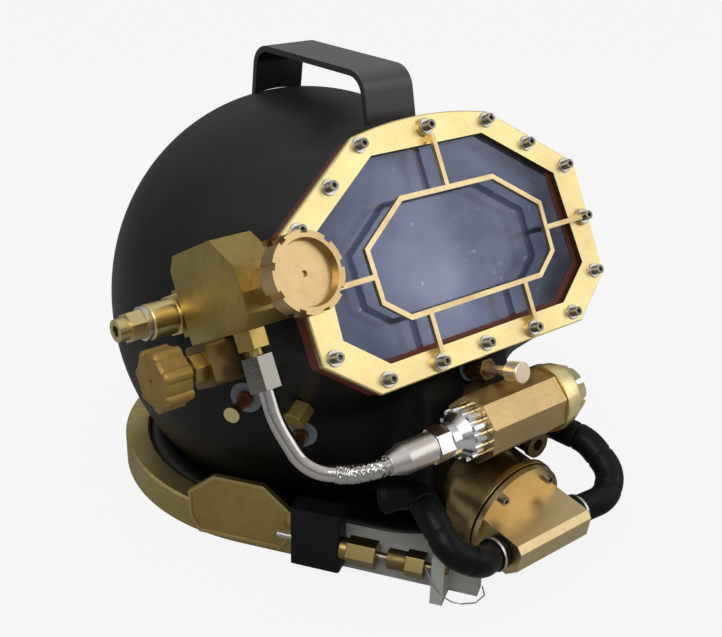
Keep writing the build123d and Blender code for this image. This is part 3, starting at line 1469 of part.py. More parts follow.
with BuildPart() as oral_nasal_mask:
    for inset, mode in ((0, Mode.ADD), (mask_wall, Mode.SUBTRACT)):
        with BuildSketch(mask_plane(mask_front - inset)) as mask_front_face:
            Ellipse(mask_front_half_width - inset, mask_front_half_height - inset)
        with BuildSketch(mask_plane(mask_rear)) as mask_rear_face:
            Ellipse(mask_rear_half_width - inset, mask_rear_half_height - inset)
        loft([mask_front_face.sketch.face(), mask_rear_face.sketch.face()], mode=mode)
    round_bar(mask_plane(mask_front), mask_nipple_radius, -mask_nipple_length)
    round_bar(mask_plane(mask_front + mask_nipple_length), mask_nipple_radius - mask_wall / 2,
              mask_nipple_length + mask_wall * 2, Mode.SUBTRACT)
    round_bar(nose_plane(0), nose_rod_radius + seat_gap * 3, -nose_rod_in, Mode.SUBTRACT)
finish_piece(oral_nasal_mask, "oral_nasal_mask")

with BuildPart() as earphones:
    for side in (-1, 1):
        ear_plane = Plane(origin=(side * ear_across, -ear_forward, ear_height), z_dir=(side, 0, 0))
        round_bar(ear_plane, ear_cup_radius, dome_half_width - ear_across)
    dome(-shell_wall - seat_gap, mode=Mode.INTERSECT)
finish_piece(earphones, "earphones")

with BuildPart() as microphone:
    round_bar(mask_plane(mask_front - mask_wall - seat_gap, -mic_across, -mic_down), mic_radius, mic_length)
finish_piece(microphone, "microphone")
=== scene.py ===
"""Looks of a surface-supply diving helmet with brass fittings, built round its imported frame."""

import json
import logging
from collections.abc import Callable
from dataclasses import dataclass, field
from enum import Enum
from math import atan2, cos, pi, radians, sin, sqrt

import bpy
import numpy as np
from mathutils import Matrix, Vector

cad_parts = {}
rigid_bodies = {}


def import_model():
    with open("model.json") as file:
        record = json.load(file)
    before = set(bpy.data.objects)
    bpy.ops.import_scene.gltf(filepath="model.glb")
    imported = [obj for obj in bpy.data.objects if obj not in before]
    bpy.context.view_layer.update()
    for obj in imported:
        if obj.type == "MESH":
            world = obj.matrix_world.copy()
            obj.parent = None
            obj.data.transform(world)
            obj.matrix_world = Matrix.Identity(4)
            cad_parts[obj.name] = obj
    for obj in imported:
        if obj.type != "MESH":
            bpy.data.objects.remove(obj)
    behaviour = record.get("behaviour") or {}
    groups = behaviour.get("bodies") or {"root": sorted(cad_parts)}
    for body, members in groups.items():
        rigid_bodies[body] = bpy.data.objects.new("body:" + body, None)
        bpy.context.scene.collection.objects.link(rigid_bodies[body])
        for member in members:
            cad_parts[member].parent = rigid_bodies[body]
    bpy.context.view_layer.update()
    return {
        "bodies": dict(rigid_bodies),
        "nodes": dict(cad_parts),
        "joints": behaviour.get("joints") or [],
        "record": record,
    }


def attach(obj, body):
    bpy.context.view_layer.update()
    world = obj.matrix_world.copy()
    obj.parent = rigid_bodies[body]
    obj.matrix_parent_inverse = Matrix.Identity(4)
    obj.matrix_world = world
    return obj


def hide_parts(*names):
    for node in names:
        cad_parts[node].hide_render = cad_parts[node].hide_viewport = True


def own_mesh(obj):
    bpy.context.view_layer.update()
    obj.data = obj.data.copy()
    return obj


LOG = logging.getLogger("helmet")
MM = 0.001
Colour = tuple[float, float, float]
Triple = tuple[float, float, float]


def point(*values: float) -> np.ndarray:
    """Return a point or direction as an array."""
    return np.array(values, dtype=float)


def unit(vector: np.ndarray) -> np.ndarray:
    """Return the vector at length one."""
    return vector / np.linalg.norm(vector, axis=-1, keepdims=True)


def soft_min(a: np.ndarray, b: np.ndarray, width: np.ndarray) -> np.ndarray:
    """Smaller of two fields, blended by (width - |a - b|) squared over 4 widths where they are near.

    Args:
        a: first field.
        b: second field.
        width: how near the two have to be for the blend.

    Returns:
        The blended field.
    """
    near = np.maximum(width - np.abs(a - b), 0.0)
    return np.minimum(a, b) - near * near / (4.0 * width)


def soft_max(a: np.ndarray, b: np.ndarray, width: np.ndarray) -> np.ndarray:
    """Larger of two fields, blended where they are near, as soft_min is."""
    return -soft_min(-a, -b, width)


# Frames of reference shared with the solids


@dataclass(frozen=True)
class FaceFrame:
    """The leaning plane of the window: x across, v up the face, n out of it, in millimetres."""

    lean: float = radians(28.5)
    origin: Triple = (0.0, -120.0, 210.0)

    @property
    def up(self) -> np.ndarray:
        """Direction up the face."""
        return point(0.0, sin(self.lean), cos(self.lean))

    @property
    def out(self) -> np.ndarray:
        """Direction out of the face."""
        return point(0.0, -cos(self.lean), sin(self.lean))

    def place(self, across: float, up: float, out: float) -> np.ndarray:
        """Return the point at that place across, up and out of the face."""
        return point(*self.origin) + point(across, 0.0, 0.0) + self.up * up + self.out * out

    def local(self, points: np.ndarray) -> tuple[np.ndarray, np.ndarray, np.ndarray]:
        """Return x, v and n of an array of points."""
        away = points - point(*self.origin)
        return points[..., 0], away @ self.up, away @ self.out


FACE = FaceFrame()


@dataclass(frozen=True)
class Flank:
    """The straight left flank of the neck ring, which touches the ring's back arc and its nose arc."""

    start_radius: float = 142.0
    end_radius: float = 85.0
    back: float = 20.0
    forward: float = 88.3

    @property
    def sine(self) -> float:
        """Sine of the flank's lean towards the nose."""
        return (self.start_radius - self.end_radius) / (self.back + self.forward)

    @property
    def normal(self) -> np.ndarray:
        """Direction out of the flank."""
        return point(-sqrt(1.0 - self.sine ** 2), -self.sine, 0.0)

    @property
    def along(self) -> np.ndarray:
        """Direction along the flank to the nose."""
        return point(self.sine, -sqrt(1.0 - self.sine ** 2), 0.0)

    def out(self, points: np.ndarray) -> np.ndarray:
        """Distance of points out of the flank."""
        return (points - point(0.0, self.back, 0.0)) @ self.normal - self.start_radius

    def place(self, along: float, out: float, height: float) -> np.ndarray:
        """Return the point at that place along, out of and up the flank."""
        start = point(0.0, self.back, height) + self.normal * (self.start_radius + out)
        return start + self.along * along


# Shader expressions and finishes


class Tie:
    """A shader socket that takes part in Python sums: each operator adds its Math node."""

    def __init__(self, bench: "Bench", socket: bpy.types.NodeSocket) -> None:
        """Keep the bench that owns the tree, and the socket."""
        self.bench = bench
        self.socket = socket

    def _math(self, operation: str, *terms: "Tie | float") -> "Tie":
        """Add a Math node for the operation on the terms."""
        node = self.bench.node("ShaderNodeMath", {"operation": operation})
        for slot, term in enumerate(terms):
            self.bench.feed(node.inputs[slot], term)
        return Tie(self.bench, node.outputs[0])

    def __add__(self, other: "Tie | float") -> "Tie":
        """Sum of the two."""
        return self._math("ADD", self, other)

    __radd__ = __add__

    def __sub__(self, other: "Tie | float") -> "Tie":
        """This less the other."""
        return self._math("SUBTRACT", self, other)

    def __rsub__(self, other: float) -> "Tie":
        """The other less this."""
        return self._math("SUBTRACT", other, self)

    def __mul__(self, other: "Tie | float") -> "Tie":
        """Product of the two."""
        return self._math("MULTIPLY", self, other)

    __rmul__ = __mul__

    def clamped(self) -> "Tie":
        """This kept between 0 and 1."""
        return self._math("MINIMUM", self._math("MAXIMUM", self, 0.0), 1.0)

    def ramp(self, low: float, high: float) -> "Tie":
        """Rise from 0 at low to 1 at high, clamped."""
        return ((self - low) * (1.0 / (high - low))).clamped()


class Bench:
    """One material's node tree, and the ways to add to it."""

    def __init__(self, name: str, world: bpy.types.World | None = None) -> None:
        """Empty the node tree of a new material, or of the world given, and add its output and place."""
        self.material = world or bpy.data.materials.new(name)
        self.material.use_nodes = True
        self.tree = self.material.node_tree
        self.tree.nodes.clear()
        self.output = self.node("ShaderNodeOutputWorld" if world else "ShaderNodeOutputMaterial")
        self.place = self.node("ShaderNodeTexCoord").outputs["Object"]

    def feed(self, socket: bpy.types.NodeSocket, value: object) -> None:
        """Link a tie or socket to an input, or set the input's own value."""
        if isinstance(value, Tie):
            self.tree.links.new(value.socket, socket)
        elif isinstance(value, bpy.types.NodeSocket):
            self.tree.links.new(value, socket)
        elif isinstance(value, tuple) and len(value) == 3 and socket.type == "RGBA":
            socket.default_value = (*value, 1.0)
        else:
            socket.default_value = value

    def node(self, kind: str, settings: dict | None = None, inputs: dict | None = None) -> bpy.types.Node:
        """Add a node.

        Args:
            kind: the node's type.
            settings: its own properties, set first.
            inputs: values or links of its sockets, by name or number.

        Returns:
            The node.
        """
        node = self.tree.nodes.new(kind)
        for name, value in (settings or {}).items():
            setattr(node, name, value)
        for name, value in (inputs or {}).items():
            self.feed(node.inputs[name], value)
        return node

    def noise(self, scale: float, detail: float, stretch: Triple | None = None) -> Tie:
        """Noise between 0 and 1 over the piece, if asked drawn out along an axis.

        Args:
            scale: cells in a metre.
            detail: octaves of finer noise.
            stretch: scale factors of the three axes, for a grain.

        Returns:
            The noise value.
        """
        place = self.place
        if stretch:
            place = self.node("ShaderNodeMapping", {}, {"Vector": place, "Scale": stretch}).outputs[0]
        inputs = {"Vector": place, "Scale": scale, "Detail": detail, "Roughness": 0.55}
        return Tie(self, self.node("ShaderNodeTexNoise", {}, inputs).outputs["Fac"])

    def mix(self, factor: "Tie | float", first: object, second: object) -> bpy.types.NodeSocket:
        """Mix two colours by the factor."""
        node = self.node("ShaderNodeMix", {"data_type": "RGBA"})
        self.feed(node.inputs[0], factor)
        self.feed(node.inputs[6], first)
        self.feed(node.inputs[7], second)
        return node.outputs[2]

    def bump(self, height: Tie, depth: float, strength: float = 1.0) -> bpy.types.NodeSocket:
        """Bump from a height field, with its depth in metres."""
        inputs = {"Height": height, "Distance": depth, "Strength": strength}
        return self.node("ShaderNodeBump", {}, inputs).outputs[0]

    def principled(self, inputs: dict) -> bpy.types.Node:
        """Add a Principled shader and join it to the output."""
        shader = self.node("ShaderNodeBsdfPrincipled", {}, inputs)
        self.feed(self.output.inputs[0], shader.outputs[0])
        return shader

    def blend(self, factor: "Tie | float", first: bpy.types.Node, second: bpy.types.Node) -> None:
        """Mix two shaders by the factor and join them to the output."""
        join = self.node("ShaderNodeMixShader", {}, {0: factor, 1: first.outputs[0], 2: second.outputs[0]})
        self.feed(self.output.inputs[0], join.outputs[0])

    def part(self, vector: bpy.types.NodeSocket, number: int) -> Tie:
        """One coordinate of a vector."""
        return Tie(self, self.node("ShaderNodeSeparateXYZ", {}, {0: vector}).outputs[number])


@dataclass(frozen=True)
class Patch:
    """Patches over a piece: noise, cut off below one level and full above another."""

    scale: float
    detail: float
    low: float
    high: float
    stretch: Triple | None = None

    def on(self, bench: Bench) -> Tie:
        """Return the patches' field, between 0 and 1."""
        return bench.noise(self.scale, self.detail, self.stretch).ramp(self.low, self.high)


class Grain(Enum):
    """Which way a brushed or turned surface's fine lines run."""

    ACROSS = (10.0, 420.0, 420.0)
    UPRIGHT = (420.0, 420.0, 10.0)
    NONE = (160.0, 160.0, 160.0)

    def lines(self, bench: Bench) -> Tie:
        """Return the field of fine lines."""
        return bench.noise(scale=3.0, detail=2.0, stretch=self.value)


@dataclass(frozen=True)
class Brass:
    """Brass with tarnish, fine tool lines and small pits."""

    name: str
    base: Colour
    tarnish: Colour
    roughness: float = 0.3
    grain: Grain = Grain.ACROSS
    blotch: float = 0.5
    pits: float = 0.3
    clouds: Patch = Patch(22.0, 4.0, 0.38, 0.66)
    freckles: Patch = Patch(170.0, 4.0, 0.45, 0.75)
    holes: Patch = Patch(420.0, 1.0, 0.70, 0.78)
    freckle_share: float = 0.45
    polish: float = 1.12
    dull_rough: float = 0.16
    line_span: tuple[float, float] = (0.3, 0.7)
    line_rough: float = 0.08
    line_height: float = 0.35
    cast_scale: float = 900.0
    cast_height: float = 0.25
    hole_depth: float = 0.6
    relief: float = 0.00012
    even_strength: float = 0.25
    brushed_strength: float = 0.5

    def make(self) -> bpy.types.Material:
        """Build the material: blotches of tarnish, brushed lines in colour, roughness and bump."""
        bench = Bench(self.name)
        lines, holes = self.grain.lines(bench), self.holes.on(bench)
        freckles = self.freckles.on(bench) * (self.blotch * self.freckle_share)
        dull = (self.clouds.on(bench) * self.blotch + freckles + holes * self.pits).clamped()
        paler = tuple(min(1.0, c * self.polish) for c in self.base)
        metal = bench.mix(lines.ramp(*self.line_span), self.base, paler)
        rough = dull * self.dull_rough + lines * self.line_rough + (self.roughness - self.line_rough / 2)
        cast = bench.noise(self.cast_scale, 2.0) * self.cast_height
        height = lines * self.line_height + cast - holes * self.hole_depth
        strength = self.even_strength if self.grain is Grain.NONE else self.brushed_strength
        bench.principled({
            "Base Color": bench.mix(dull, metal, self.tarnish), "Metallic": 1.0, "Roughness": rough,
            "Normal": bench.bump(height, self.relief, strength),
        })
        return bench.material


@dataclass(frozen=True)
class Steel:
    """Stainless or chromed steel with faint scuffs."""

    name: str
    base: Colour
    roughness: float
    scuff: float
    crinkle: float = 0.0
    crinkle_scale: float = 190.0
    scuffs: Patch = Patch(60.0, 5.0, 0.45, 0.7)
    dimming: float = 0.62
    scuff_rough: float = 0.4
    line_rough: float = 0.06
    line_height: float = 0.00005

    def make(self) -> bpy.types.Material:
        """Build the material: a bright metal whose roughness and colour vary in fine scuffs, or crinkled."""
        bench = Bench(self.name)
        scuffs, lines = self.scuffs.on(bench), Grain.NONE.lines(bench)
        dim = tuple(c * self.dimming for c in self.base)
        rough = scuffs * (self.scuff * self.scuff_rough) + lines * self.line_rough
        height = lines * self.line_height + bench.noise(self.crinkle_scale, 2.0) * self.crinkle
        bench.principled({
            "Base Color": bench.mix(scuffs * self.scuff, self.base, dim), "Metallic": 1.0,
            "Roughness": rough + (self.roughness - self.line_rough / 2), "Normal": bench.bump(height, 1.0),
        })
        return bench.material


@dataclass(frozen=True)
class Coating:
    """Dark laminate, paint, rubber or plastic with dust, painted top light on upward faces, and a fine
    surface.
    """

    name: str
    base: Colour
    dust_and_top_light: Colour
    roughness: float = 0.42
    dusting: float = 0.3
    ripple: float = 0.0002
    ripple_scale: float = 90.0
    gloss: float = 0.2
    # share of painted top light: upward faces lightened towards the dust colour
    painted_top_light: float = 0.0
    patches: Patch = Patch(14.0, 5.0, 0.40, 0.72)
    specks: Patch = Patch(700.0, 2.0, 0.66, 0.74)
    speck_share: float = 0.5
    dust_span: tuple[float, float] = (-0.6, 0.4)
    top_light_span: tuple[float, float] = (0.1, 0.9)
    smoothing: float = 0.08
    patch_rough: float = 0.14
    grain_rough: float = 0.1
    grain_scale: float = 320.0
    skin_scale: float = 1100.0
    skin_height: float = 0.12
    strength: float = 0.7

    def make(self) -> bpy.types.Material:
        """Build the material: base colour under dust, most on upward faces, lightened further on upward faces
        as painted top light, with ripples in the bump.
        """
        bench = Bench(self.name)
        patches, specks = self.patches.on(bench), self.specks.on(bench)
        rise = bench.part(bench.node("ShaderNodeTexCoord").outputs["Normal"], 2)
        strewn = (patches + specks * self.speck_share) * rise.ramp(*self.dust_span) * self.dusting
        # painted top light: upward faces take on the dust colour by that share, on top of the dust patches
        cover = (strewn + rise.ramp(*self.top_light_span) * self.painted_top_light).clamped()
        grain = bench.noise(self.grain_scale, 3.0) * self.grain_rough
        skin = bench.noise(self.skin_scale, 2.0) * self.skin_height
        bench.principled({
            "Base Color": bench.mix(cover, self.base, self.dust_and_top_light), "Specular IOR Level": self.gloss,
            "Roughness": patches * self.patch_rough + grain + (self.roughness - self.smoothing),
            "Normal": bench.bump(bench.noise(self.ripple_scale, 2.0) + skin, self.ripple, self.strength),
        })
        return bench.material


@dataclass(frozen=True)
class Acrylic:
    """Thick clear window acrylic under a bluish layer of painted reflection, with smears and small specks."""

    name: str = "window_acrylic"
    tint: Colour = (0.70, 0.74, 0.95)
    # colour of the bluish layer of painted reflection
    painted_reflection: Colour = (0.18, 0.195, 0.265)
    cover: float = 0.40
    smears: Patch = Patch(17.0, 5.0, 0.35, 0.75, (1.0, 1.5, 1.5))
    specks: Patch = Patch(200.0, 1.0, 0.73, 0.78)
    clouds: Patch = Patch(10.0, 2.0, 0.35, 0.65)
    smear_cover: float = 0.20
    speck_cover: float = 0.3
    cloud_share: float = 0.7
    reflection_fade_right: Triple = (-0.01, 0.085, 0.33)
    reflection_fade_left: Triple = (0.03, 0.085, 0.22)
    reflection_gain: float = 2.0
    reflection_metal: float = 0.6
    reflection_rough: float = 0.05
    smear_rough: float = 0.08

    def make(self) -> bpy.types.Material:
        """Build the material: a see-through body under a smeared layer of painted reflection, which fades
        towards both ends.
        """
        bench = Bench(self.name)
        smears, clouds = self.smears.on(bench), self.clouds.on(bench)
        across = bench.part(bench.place, 0)
        away = 0.0
        # painted reflection: less of the bluish layer towards the left and right ends of the window
        for side, (start, end, share) in ((across, self.reflection_fade_right), (across * -1.0, self.reflection_fade_left)):
            away = side.ramp(start, end) * share + away
        reflection_cover = smears * self.smear_cover + self.specks.on(bench) * self.speck_cover + self.cover
        clear = bench.node("ShaderNodeBsdfTransparent", {}, {"Color": self.tint})
        pale = tuple(min(1.0, c * self.reflection_gain) for c in self.painted_reflection)
        shade = clouds * self.cloud_share + smears * (1.0 - self.cloud_share)
        # the layer's colour, between the given tint and a paler one by clouds and smears, is painted
        # reflection
        painted_reflection = bench.node("ShaderNodeBsdfPrincipled", {}, {
            "Base Color": bench.mix(shade, self.painted_reflection, pale), "Metallic": self.reflection_metal,
            "Roughness": smears * self.smear_rough + self.reflection_rough,
        })
        bench.blend((reflection_cover - away).clamped(), clear, painted_reflection)
        return bench.material


@dataclass(frozen=True)
class Weave:
    """Woven lining cloth."""

    name: str = "liner_cloth"
    base: Colour = (0.012, 0.012, 0.014)
    thread: Colour = (0.035, 0.035, 0.040)
    pitch: float = 0.0011
    sway: float = 0.4
    roughness: float = 0.9
    sheen: float = 0.3
    thread_height: float = 0.0003
    strength: float = 0.8

    def make(self) -> bpy.types.Material:
        """Build the material: two crossed thread waves over the piece's own surface map."""
        bench = Bench(self.name)
        surface = bench.node("ShaderNodeTexCoord").outputs["UV"]
        waves = []
        for direction in ("X", "Y"):
            node = bench.node(
                "ShaderNodeTexWave", {"bands_direction": direction},
                {"Vector": surface, "Scale": 0.5 / self.pitch, "Distortion": self.sway, "Detail": 1.0},
            )
            waves.append(Tie(bench, node.outputs["Fac"]))
        cloth = waves[0] * waves[1]
        colour = bench.mix(cloth, self.base, self.thread)
        bench.principled({
            "Base Color": colour, "Roughness": self.roughness, "Sheen Weight": self.sheen,
            "Normal": bench.bump(cloth, self.thread_height, self.strength),
        })
        return bench.material


FINISHES = {finish.name: finish for finish in (
    Brass("pale_brass", (0.80, 0.66, 0.32), (0.60, 0.48, 0.21), 0.34, Grain.NONE, 0.25, 0.2),
    Brass("guard_brass", (0.70, 0.55, 0.30), (0.52, 0.32, 0.14), 0.34, Grain.NONE, 0.45, 0.2),
    Brass("ring_brass", (0.50, 0.40, 0.16), (0.29, 0.21, 0.085), 0.40, Grain.UPRIGHT, 0.55, 0.35),
    Brass("rim_brass", (0.50, 0.39, 0.18), (0.34, 0.22, 0.10), 0.40, Grain.NONE, 0.4, 0.3),
    Brass("badge_brass", (0.40, 0.30, 0.10), (0.27, 0.17, 0.07), 0.42, Grain.NONE, 0.5, 0.35),
    Brass("block_brass", (0.38, 0.285, 0.09), (0.21, 0.155, 0.05), 0.38, Grain.UPRIGHT, 0.5, 0.4),
    Brass("body_brass", (0.44, 0.32, 0.145), (0.28, 0.185, 0.08), 0.27, Grain.ACROSS, 0.3, 0.25),
    Brass("warm_brass", (0.63, 0.49, 0.26), (0.43, 0.31, 0.15), 0.31, Grain.ACROSS, 0.3, 0.25),
    Brass("knob_brass", (0.52, 0.38, 0.185), (0.36, 0.23, 0.09), 0.27, Grain.NONE, 0.3, 0.2),
    Brass("cap_brass", (0.84, 0.71, 0.38), (0.58, 0.45, 0.20), 0.36, Grain.ACROSS, 0.25, 0.2),
    Brass("inlet_brass", (0.66, 0.54, 0.26), (0.42, 0.31, 0.13), 0.28, Grain.ACROSS, 0.35, 0.3),
    Brass("hex_brass", (0.42, 0.31, 0.10), (0.24, 0.16, 0.055), 0.28, Grain.ACROSS, 0.35, 0.3),
    Brass("cast_brass", (0.40, 0.27, 0.075), (0.22, 0.13, 0.04), 0.46, Grain.NONE, 0.6, 0.6),
    Brass("rod_brass", (0.34, 0.26, 0.10), (0.20, 0.145, 0.055), 0.30, Grain.ACROSS, 0.4, 0.3),
    # dark old brass; on the bezel's inner wall it is painted shade
    Brass("old_brass_and_painted_shade", (0.22, 0.15, 0.06), (0.11, 0.065, 0.03), 0.42, Grain.NONE, 0.6, 0.5),
    Brass("copper_brass", (0.98, 0.80, 0.60), (0.74, 0.54, 0.36), 0.36, Grain.NONE, 0.2, 0.1),
    Steel("steel", (0.52, 0.50, 0.47), 0.22, 0.3),
    Steel("socket_steel", (0.26, 0.24, 0.22), 0.30, 0.5),
    Steel("chrome", (0.74, 0.73, 0.73), 0.18, 0.4),
    Steel("dark_chrome", (0.27, 0.26, 0.23), 0.09, 0.2),
    Steel("crinkled_chrome", (0.46, 0.45, 0.43), 0.18, 0.6, 0.0009, 260.0),
    Steel("tube_chrome", (0.52, 0.50, 0.475), 0.11, 0.5, 0.0010, 45.0),
    Steel("satin_chrome", (0.62, 0.58, 0.55), 0.32, 0.25),
    # For the shell and the handle the last number is the share of painted top light on upward faces.
    Coating(
        "shell_laminate", (0.003, 0.0037, 0.003), (0.030, 0.034, 0.028), 0.46, 0.3, 0.0009, 26.0, 0.2, 0.25),
    Coating(
        "handle_paint", (0.005, 0.005, 0.0055), (0.085, 0.088, 0.078), 0.30, 0.2, 0.00012, 240.0, 0.5, 0.6),
    Coating("yoke_paint", (0.40, 0.40, 0.37), (0.30, 0.29, 0.25), 0.42, 0.5, 0.0002, 160.0),
    Coating(
        "hose_rubber", (0.002, 0.0024, 0.0021), (0.016, 0.019, 0.018), 0.34, 0.45, 0.0003, 120.0, 0.12),
    Coating("dam_rubber", (0.004, 0.0042, 0.0038), (0.030, 0.027, 0.018), 0.42, 0.6, 0.0012, 40.0),
    Coating("gasket_rubber", (0.12, 0.028, 0.018), (0.05, 0.02, 0.014), 0.45, 0.5, 0.0002, 200.0),
    Coating("mask_rubber", (0.02, 0.02, 0.022), (0.05, 0.05, 0.052), 0.5, 0.3, 0.0003, 120.0),
    Coating("black_plastic", (0.003, 0.0035, 0.0033), (0.012, 0.013, 0.012), 0.4, 0.3, 0.0002, 220.0),
    Coating("nylon", (0.16, 0.18, 0.21), (0.28, 0.30, 0.32), 0.35, 0.4, 0.0001, 220.0),
    Coating("red_post", (0.16, 0.04, 0.022), (0.08, 0.04, 0.025), 0.35, 0.5, 0.0002, 200.0),
    Acrylic(),
    Weave(),
)}

FINISH_NODES = {
    "pale_brass": ("bezel",),
    "guard_brass": ("guard",),
    "gasket_rubber": ("port_gasket",),
    "window_acrylic": ("face_lens",),
    "socket_steel": ("port_screws", "cover_screws"),
    "steel": (
        "port_washers", "draw_rod", "non_return_poppet", "non_return_spring", "demand_poppet",
        "demand_spring", "hose_clips"),
    "handle_paint": ("carry_handle",),
    "ring_brass": ("neck_band",),
    "yoke_paint": ("nose_yoke",),
    "badge_brass": ("badge_plate",),
    "black_plastic": ("rod_guide_block", "microphone", "earphones"),
    "rod_brass": ("rod_collar", "draw_nut", "rod_end_nut"),
    "old_brass_and_painted_shade": (
        "rod_sleeve", "emergency_body", "regulator_mount", "nose_nuts", "nose_stud", "comms_post_2"),
    "block_brass": ("side_block", "comms_plug"),
    "inlet_brass": ("inlet_adapter", "inlet_union"),
    "satin_chrome": ("inlet_ring", "tube_ferrule"),
    "hex_brass": ("emergency_bonnet", "outlet_fitting"),
    "cast_brass": ("emergency_knob",),
    "knob_brass": ("steady_bonnet", "steady_knob"),
    "dark_chrome": ("tube_nut",),
    "tube_chrome": ("supply_tube",),
    "chrome": ("swivel_nut", "coupling_nut"),
    "body_brass": ("regulator_body", "exhaust_body"),
    "cap_brass": ("adjusting_cap",),
    "nylon": ("nose_washer", "comms_washers"),
    "copper_brass": ("nose_rod",),
    "mask_rubber": ("nose_pad", "exhaust_flap"),
    "warm_brass": ("whisker_block",),
    "red_post": ("comms_post_1",),
}

FLAT_NODES = {"face_lens", "port_gasket", "bezel", "guard"}

SPRING_TRAVEL = {"demand_spring": ("demand_valve_lift", 2.0), "non_return_spring": ("non_return_lift", 3.0)}


class Finisher:
    """Makes each finish once and hands it out."""

    def __init__(self) -> None:
        """Start with no material made."""
        self.made: dict[str, bpy.types.Material] = {}

    def get(self, name: str) -> bpy.types.Material:
        """Return the finish's material, making it at first use."""
        if name not in self.made:
            self.made[name] = FINISHES[name].make()
        return self.made[name]


# Meshes from grids

ARC_POINTS = 24
STEEP = 0.9


def grid_piece(
    name: str, rows: np.ndarray, closed: bool = True, maps: np.ndarray | None = None, flip: bool = False,
) -> bpy.types.Object:
    """Make a mesh from a grid of points.

    Args:
        name: the piece's name.
        rows: array of rows, columns and 3 coordinates, in millimetres.
        closed: whether each row is a closed ring.
        maps: surface map of the same grid with 2 coordinates, or None.
        flip: whether to turn the faces over.

    Returns:
        The object, with its place in its mesh.
    """
    count, ring = rows.shape[:2]
    step = np.arange(ring if closed else ring - 1)
    ahead = (step + 1) % ring
    base = (np.arange(count - 1) * ring)[:, None]
    corners = [base + step, base + ahead, base + ring + ahead, base + ring + step]
    if flip:
        corners = corners[::-1]
    faces = np.stack([np.broadcast_to(c, (count - 1, len(step))) for c in corners], axis=-1).reshape(-1, 4)
    mesh = bpy.data.meshes.new(name)
    mesh.from_pydata((rows.reshape(-1, 3) * MM).tolist(), [], faces.tolist())
    mesh.polygons.foreach_set("use_smooth", np.ones(len(faces), dtype=bool))
    if maps is not None:
        layer = mesh.uv_layers.new(name="surface")
        flat = maps.reshape(-1, 2)[faces.reshape(-1)]
        layer.data.foreach_set("uv", flat.astype(np.float32).reshape(-1))
    mesh.update()
    piece = bpy.data.objects.new(name, mesh)
    bpy.context.scene.collection.objects.link(piece)
    return piece


def full_turn(columns: int) -> np.ndarray:
    """Return evenly spaced angles once round, the last one left out."""
    return np.linspace(0.0, 2 * pi, columns, endpoint=False)


def rounded_route(corners: list[np.ndarray], radii: list[float], step: float) -> np.ndarray:
    """Points along a route with its corners rounded by arcs, evenly spaced.

    Args:
        corners: the route's corners, ends included.
        radii: radius at each inner corner.
        step: distance between the points.

    Returns:
        The points, in the corners' units.
    """
    path = [corners[0][None]]
    for number, radius in enumerate(radii, start=1):
        here = corners[number]
        back, ahead = unit(corners[number - 1] - here), unit(corners[number + 1] - here)
        half = np.arccos(np.clip(back @ ahead, -1.0, 1.0)) / 2.0
        reach = radius / np.tan(half)
        centre = here + unit(back + ahead) * radius / np.sin(half)
        first, last = here + back * reach - centre, here + ahead * reach - centre
        angle = np.arccos(np.clip(unit(first) @ unit(last), -1.0, 1.0))
        t = np.linspace(0.0, 1.0, ARC_POINTS)[:, None]
        path.append(centre + (first * np.sin((1 - t) * angle) + last * np.sin(t * angle)) / np.sin(angle))
    path.append(corners[-1][None])
    line = np.concatenate(path)
    along = np.concatenate([[0.0], np.cumsum(np.linalg.norm(np.diff(line, axis=0), axis=1))])
    even = np.linspace(0.0, along[-1], max(int(along[-1] / step), 2))
    return np.stack([np.interp(even, along, line[:, axis]) for axis in range(3)], axis=1)


@dataclass
class Sweep:
    """A path with frames that don't twist, on which rings of any radius can be set."""

    path: np.ndarray
    along: np.ndarray = field(init=False)
    side: np.ndarray = field(init=False)
    lift: np.ndarray = field(init=False)

    def __post_init__(self) -> None:
        """Work out the length and a frame at each point, by turning the last frame onto the new tangent."""
        steps = np.linalg.norm(np.diff(self.path, axis=0), axis=1)
        self.along = np.concatenate([[0.0], np.cumsum(steps)])
        tangent = unit(np.gradient(self.path, axis=0))
        helper = point(0.0, 0.0, 1.0) if abs(tangent[0, 2]) < STEEP else point(1.0, 0.0, 0.0)
        side = [unit(np.cross(tangent[0], helper))]
        for way in tangent[1:]:
            last = side[-1]
            side.append(unit(last - way * (last @ way)))
        self.side = np.array(side)
        self.lift = np.cross(tangent, self.side)

    def ring(self, place: float, radius: np.ndarray, turn: np.ndarray) -> np.ndarray:
        """Return one ring of points about the path, at the radius along each turn in its frame.

        Args:
            place: distance along the path.
            radius: radius at each turn.
            turn: angles round the ring.

        Returns:
            The ring's points.
        """
        def at(values: np.ndarray) -> np.ndarray:
            return np.array([np.interp(place, self.along, values[:, axis]) for axis in range(3)])

        centre, side, lift = at(self.path), unit(at(self.side)), unit(at(self.lift))
        return centre + (np.cos(turn) * radius)[:, None] * side + (np.sin(turn) * radius)[:, None] * lift

    def tube(self, rings: list[tuple[float, float]], columns: int) -> np.ndarray:
        """Return a grid of rings, each given by its place along the path and its radius."""
        turn = full_turn(columns)
        return np.array([self.ring(place, np.full(columns, radius), turn) for place, radius in rings])


def modifier(piece: bpy.types.Object, kind: str, **settings: object) -> None:
    """Add a modifier with its settings to a piece."""
    added = piece.modifiers.new(kind.lower(), kind)
    for name, value in settings.items():
        setattr(added, name, value)


# Sub-assemblies


def fix(
    piece: bpy.types.Object, material: bpy.types.Material, node: str = "",
) -> bpy.types.Object:
    """Give a piece its material, fix it to the helmet and, if asked, let it stand for a solid.

    Args:
        piece: the piece.
        material: its finish.
        node: the solid that it stands for, if any.

    Returns:
        The same piece.
    """
    piece.data.materials.append(material)
    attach(piece, "helmet")
    if node:
        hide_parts(node)
    return piece


def window_outline(corners: tuple) -> np.ndarray:
    """Return an outline's eight corners across and up the face, from the four on one side."""
    side = np.array(corners)
    return np.concatenate([side, side[::-1] * point(-1.0, 1.0)])


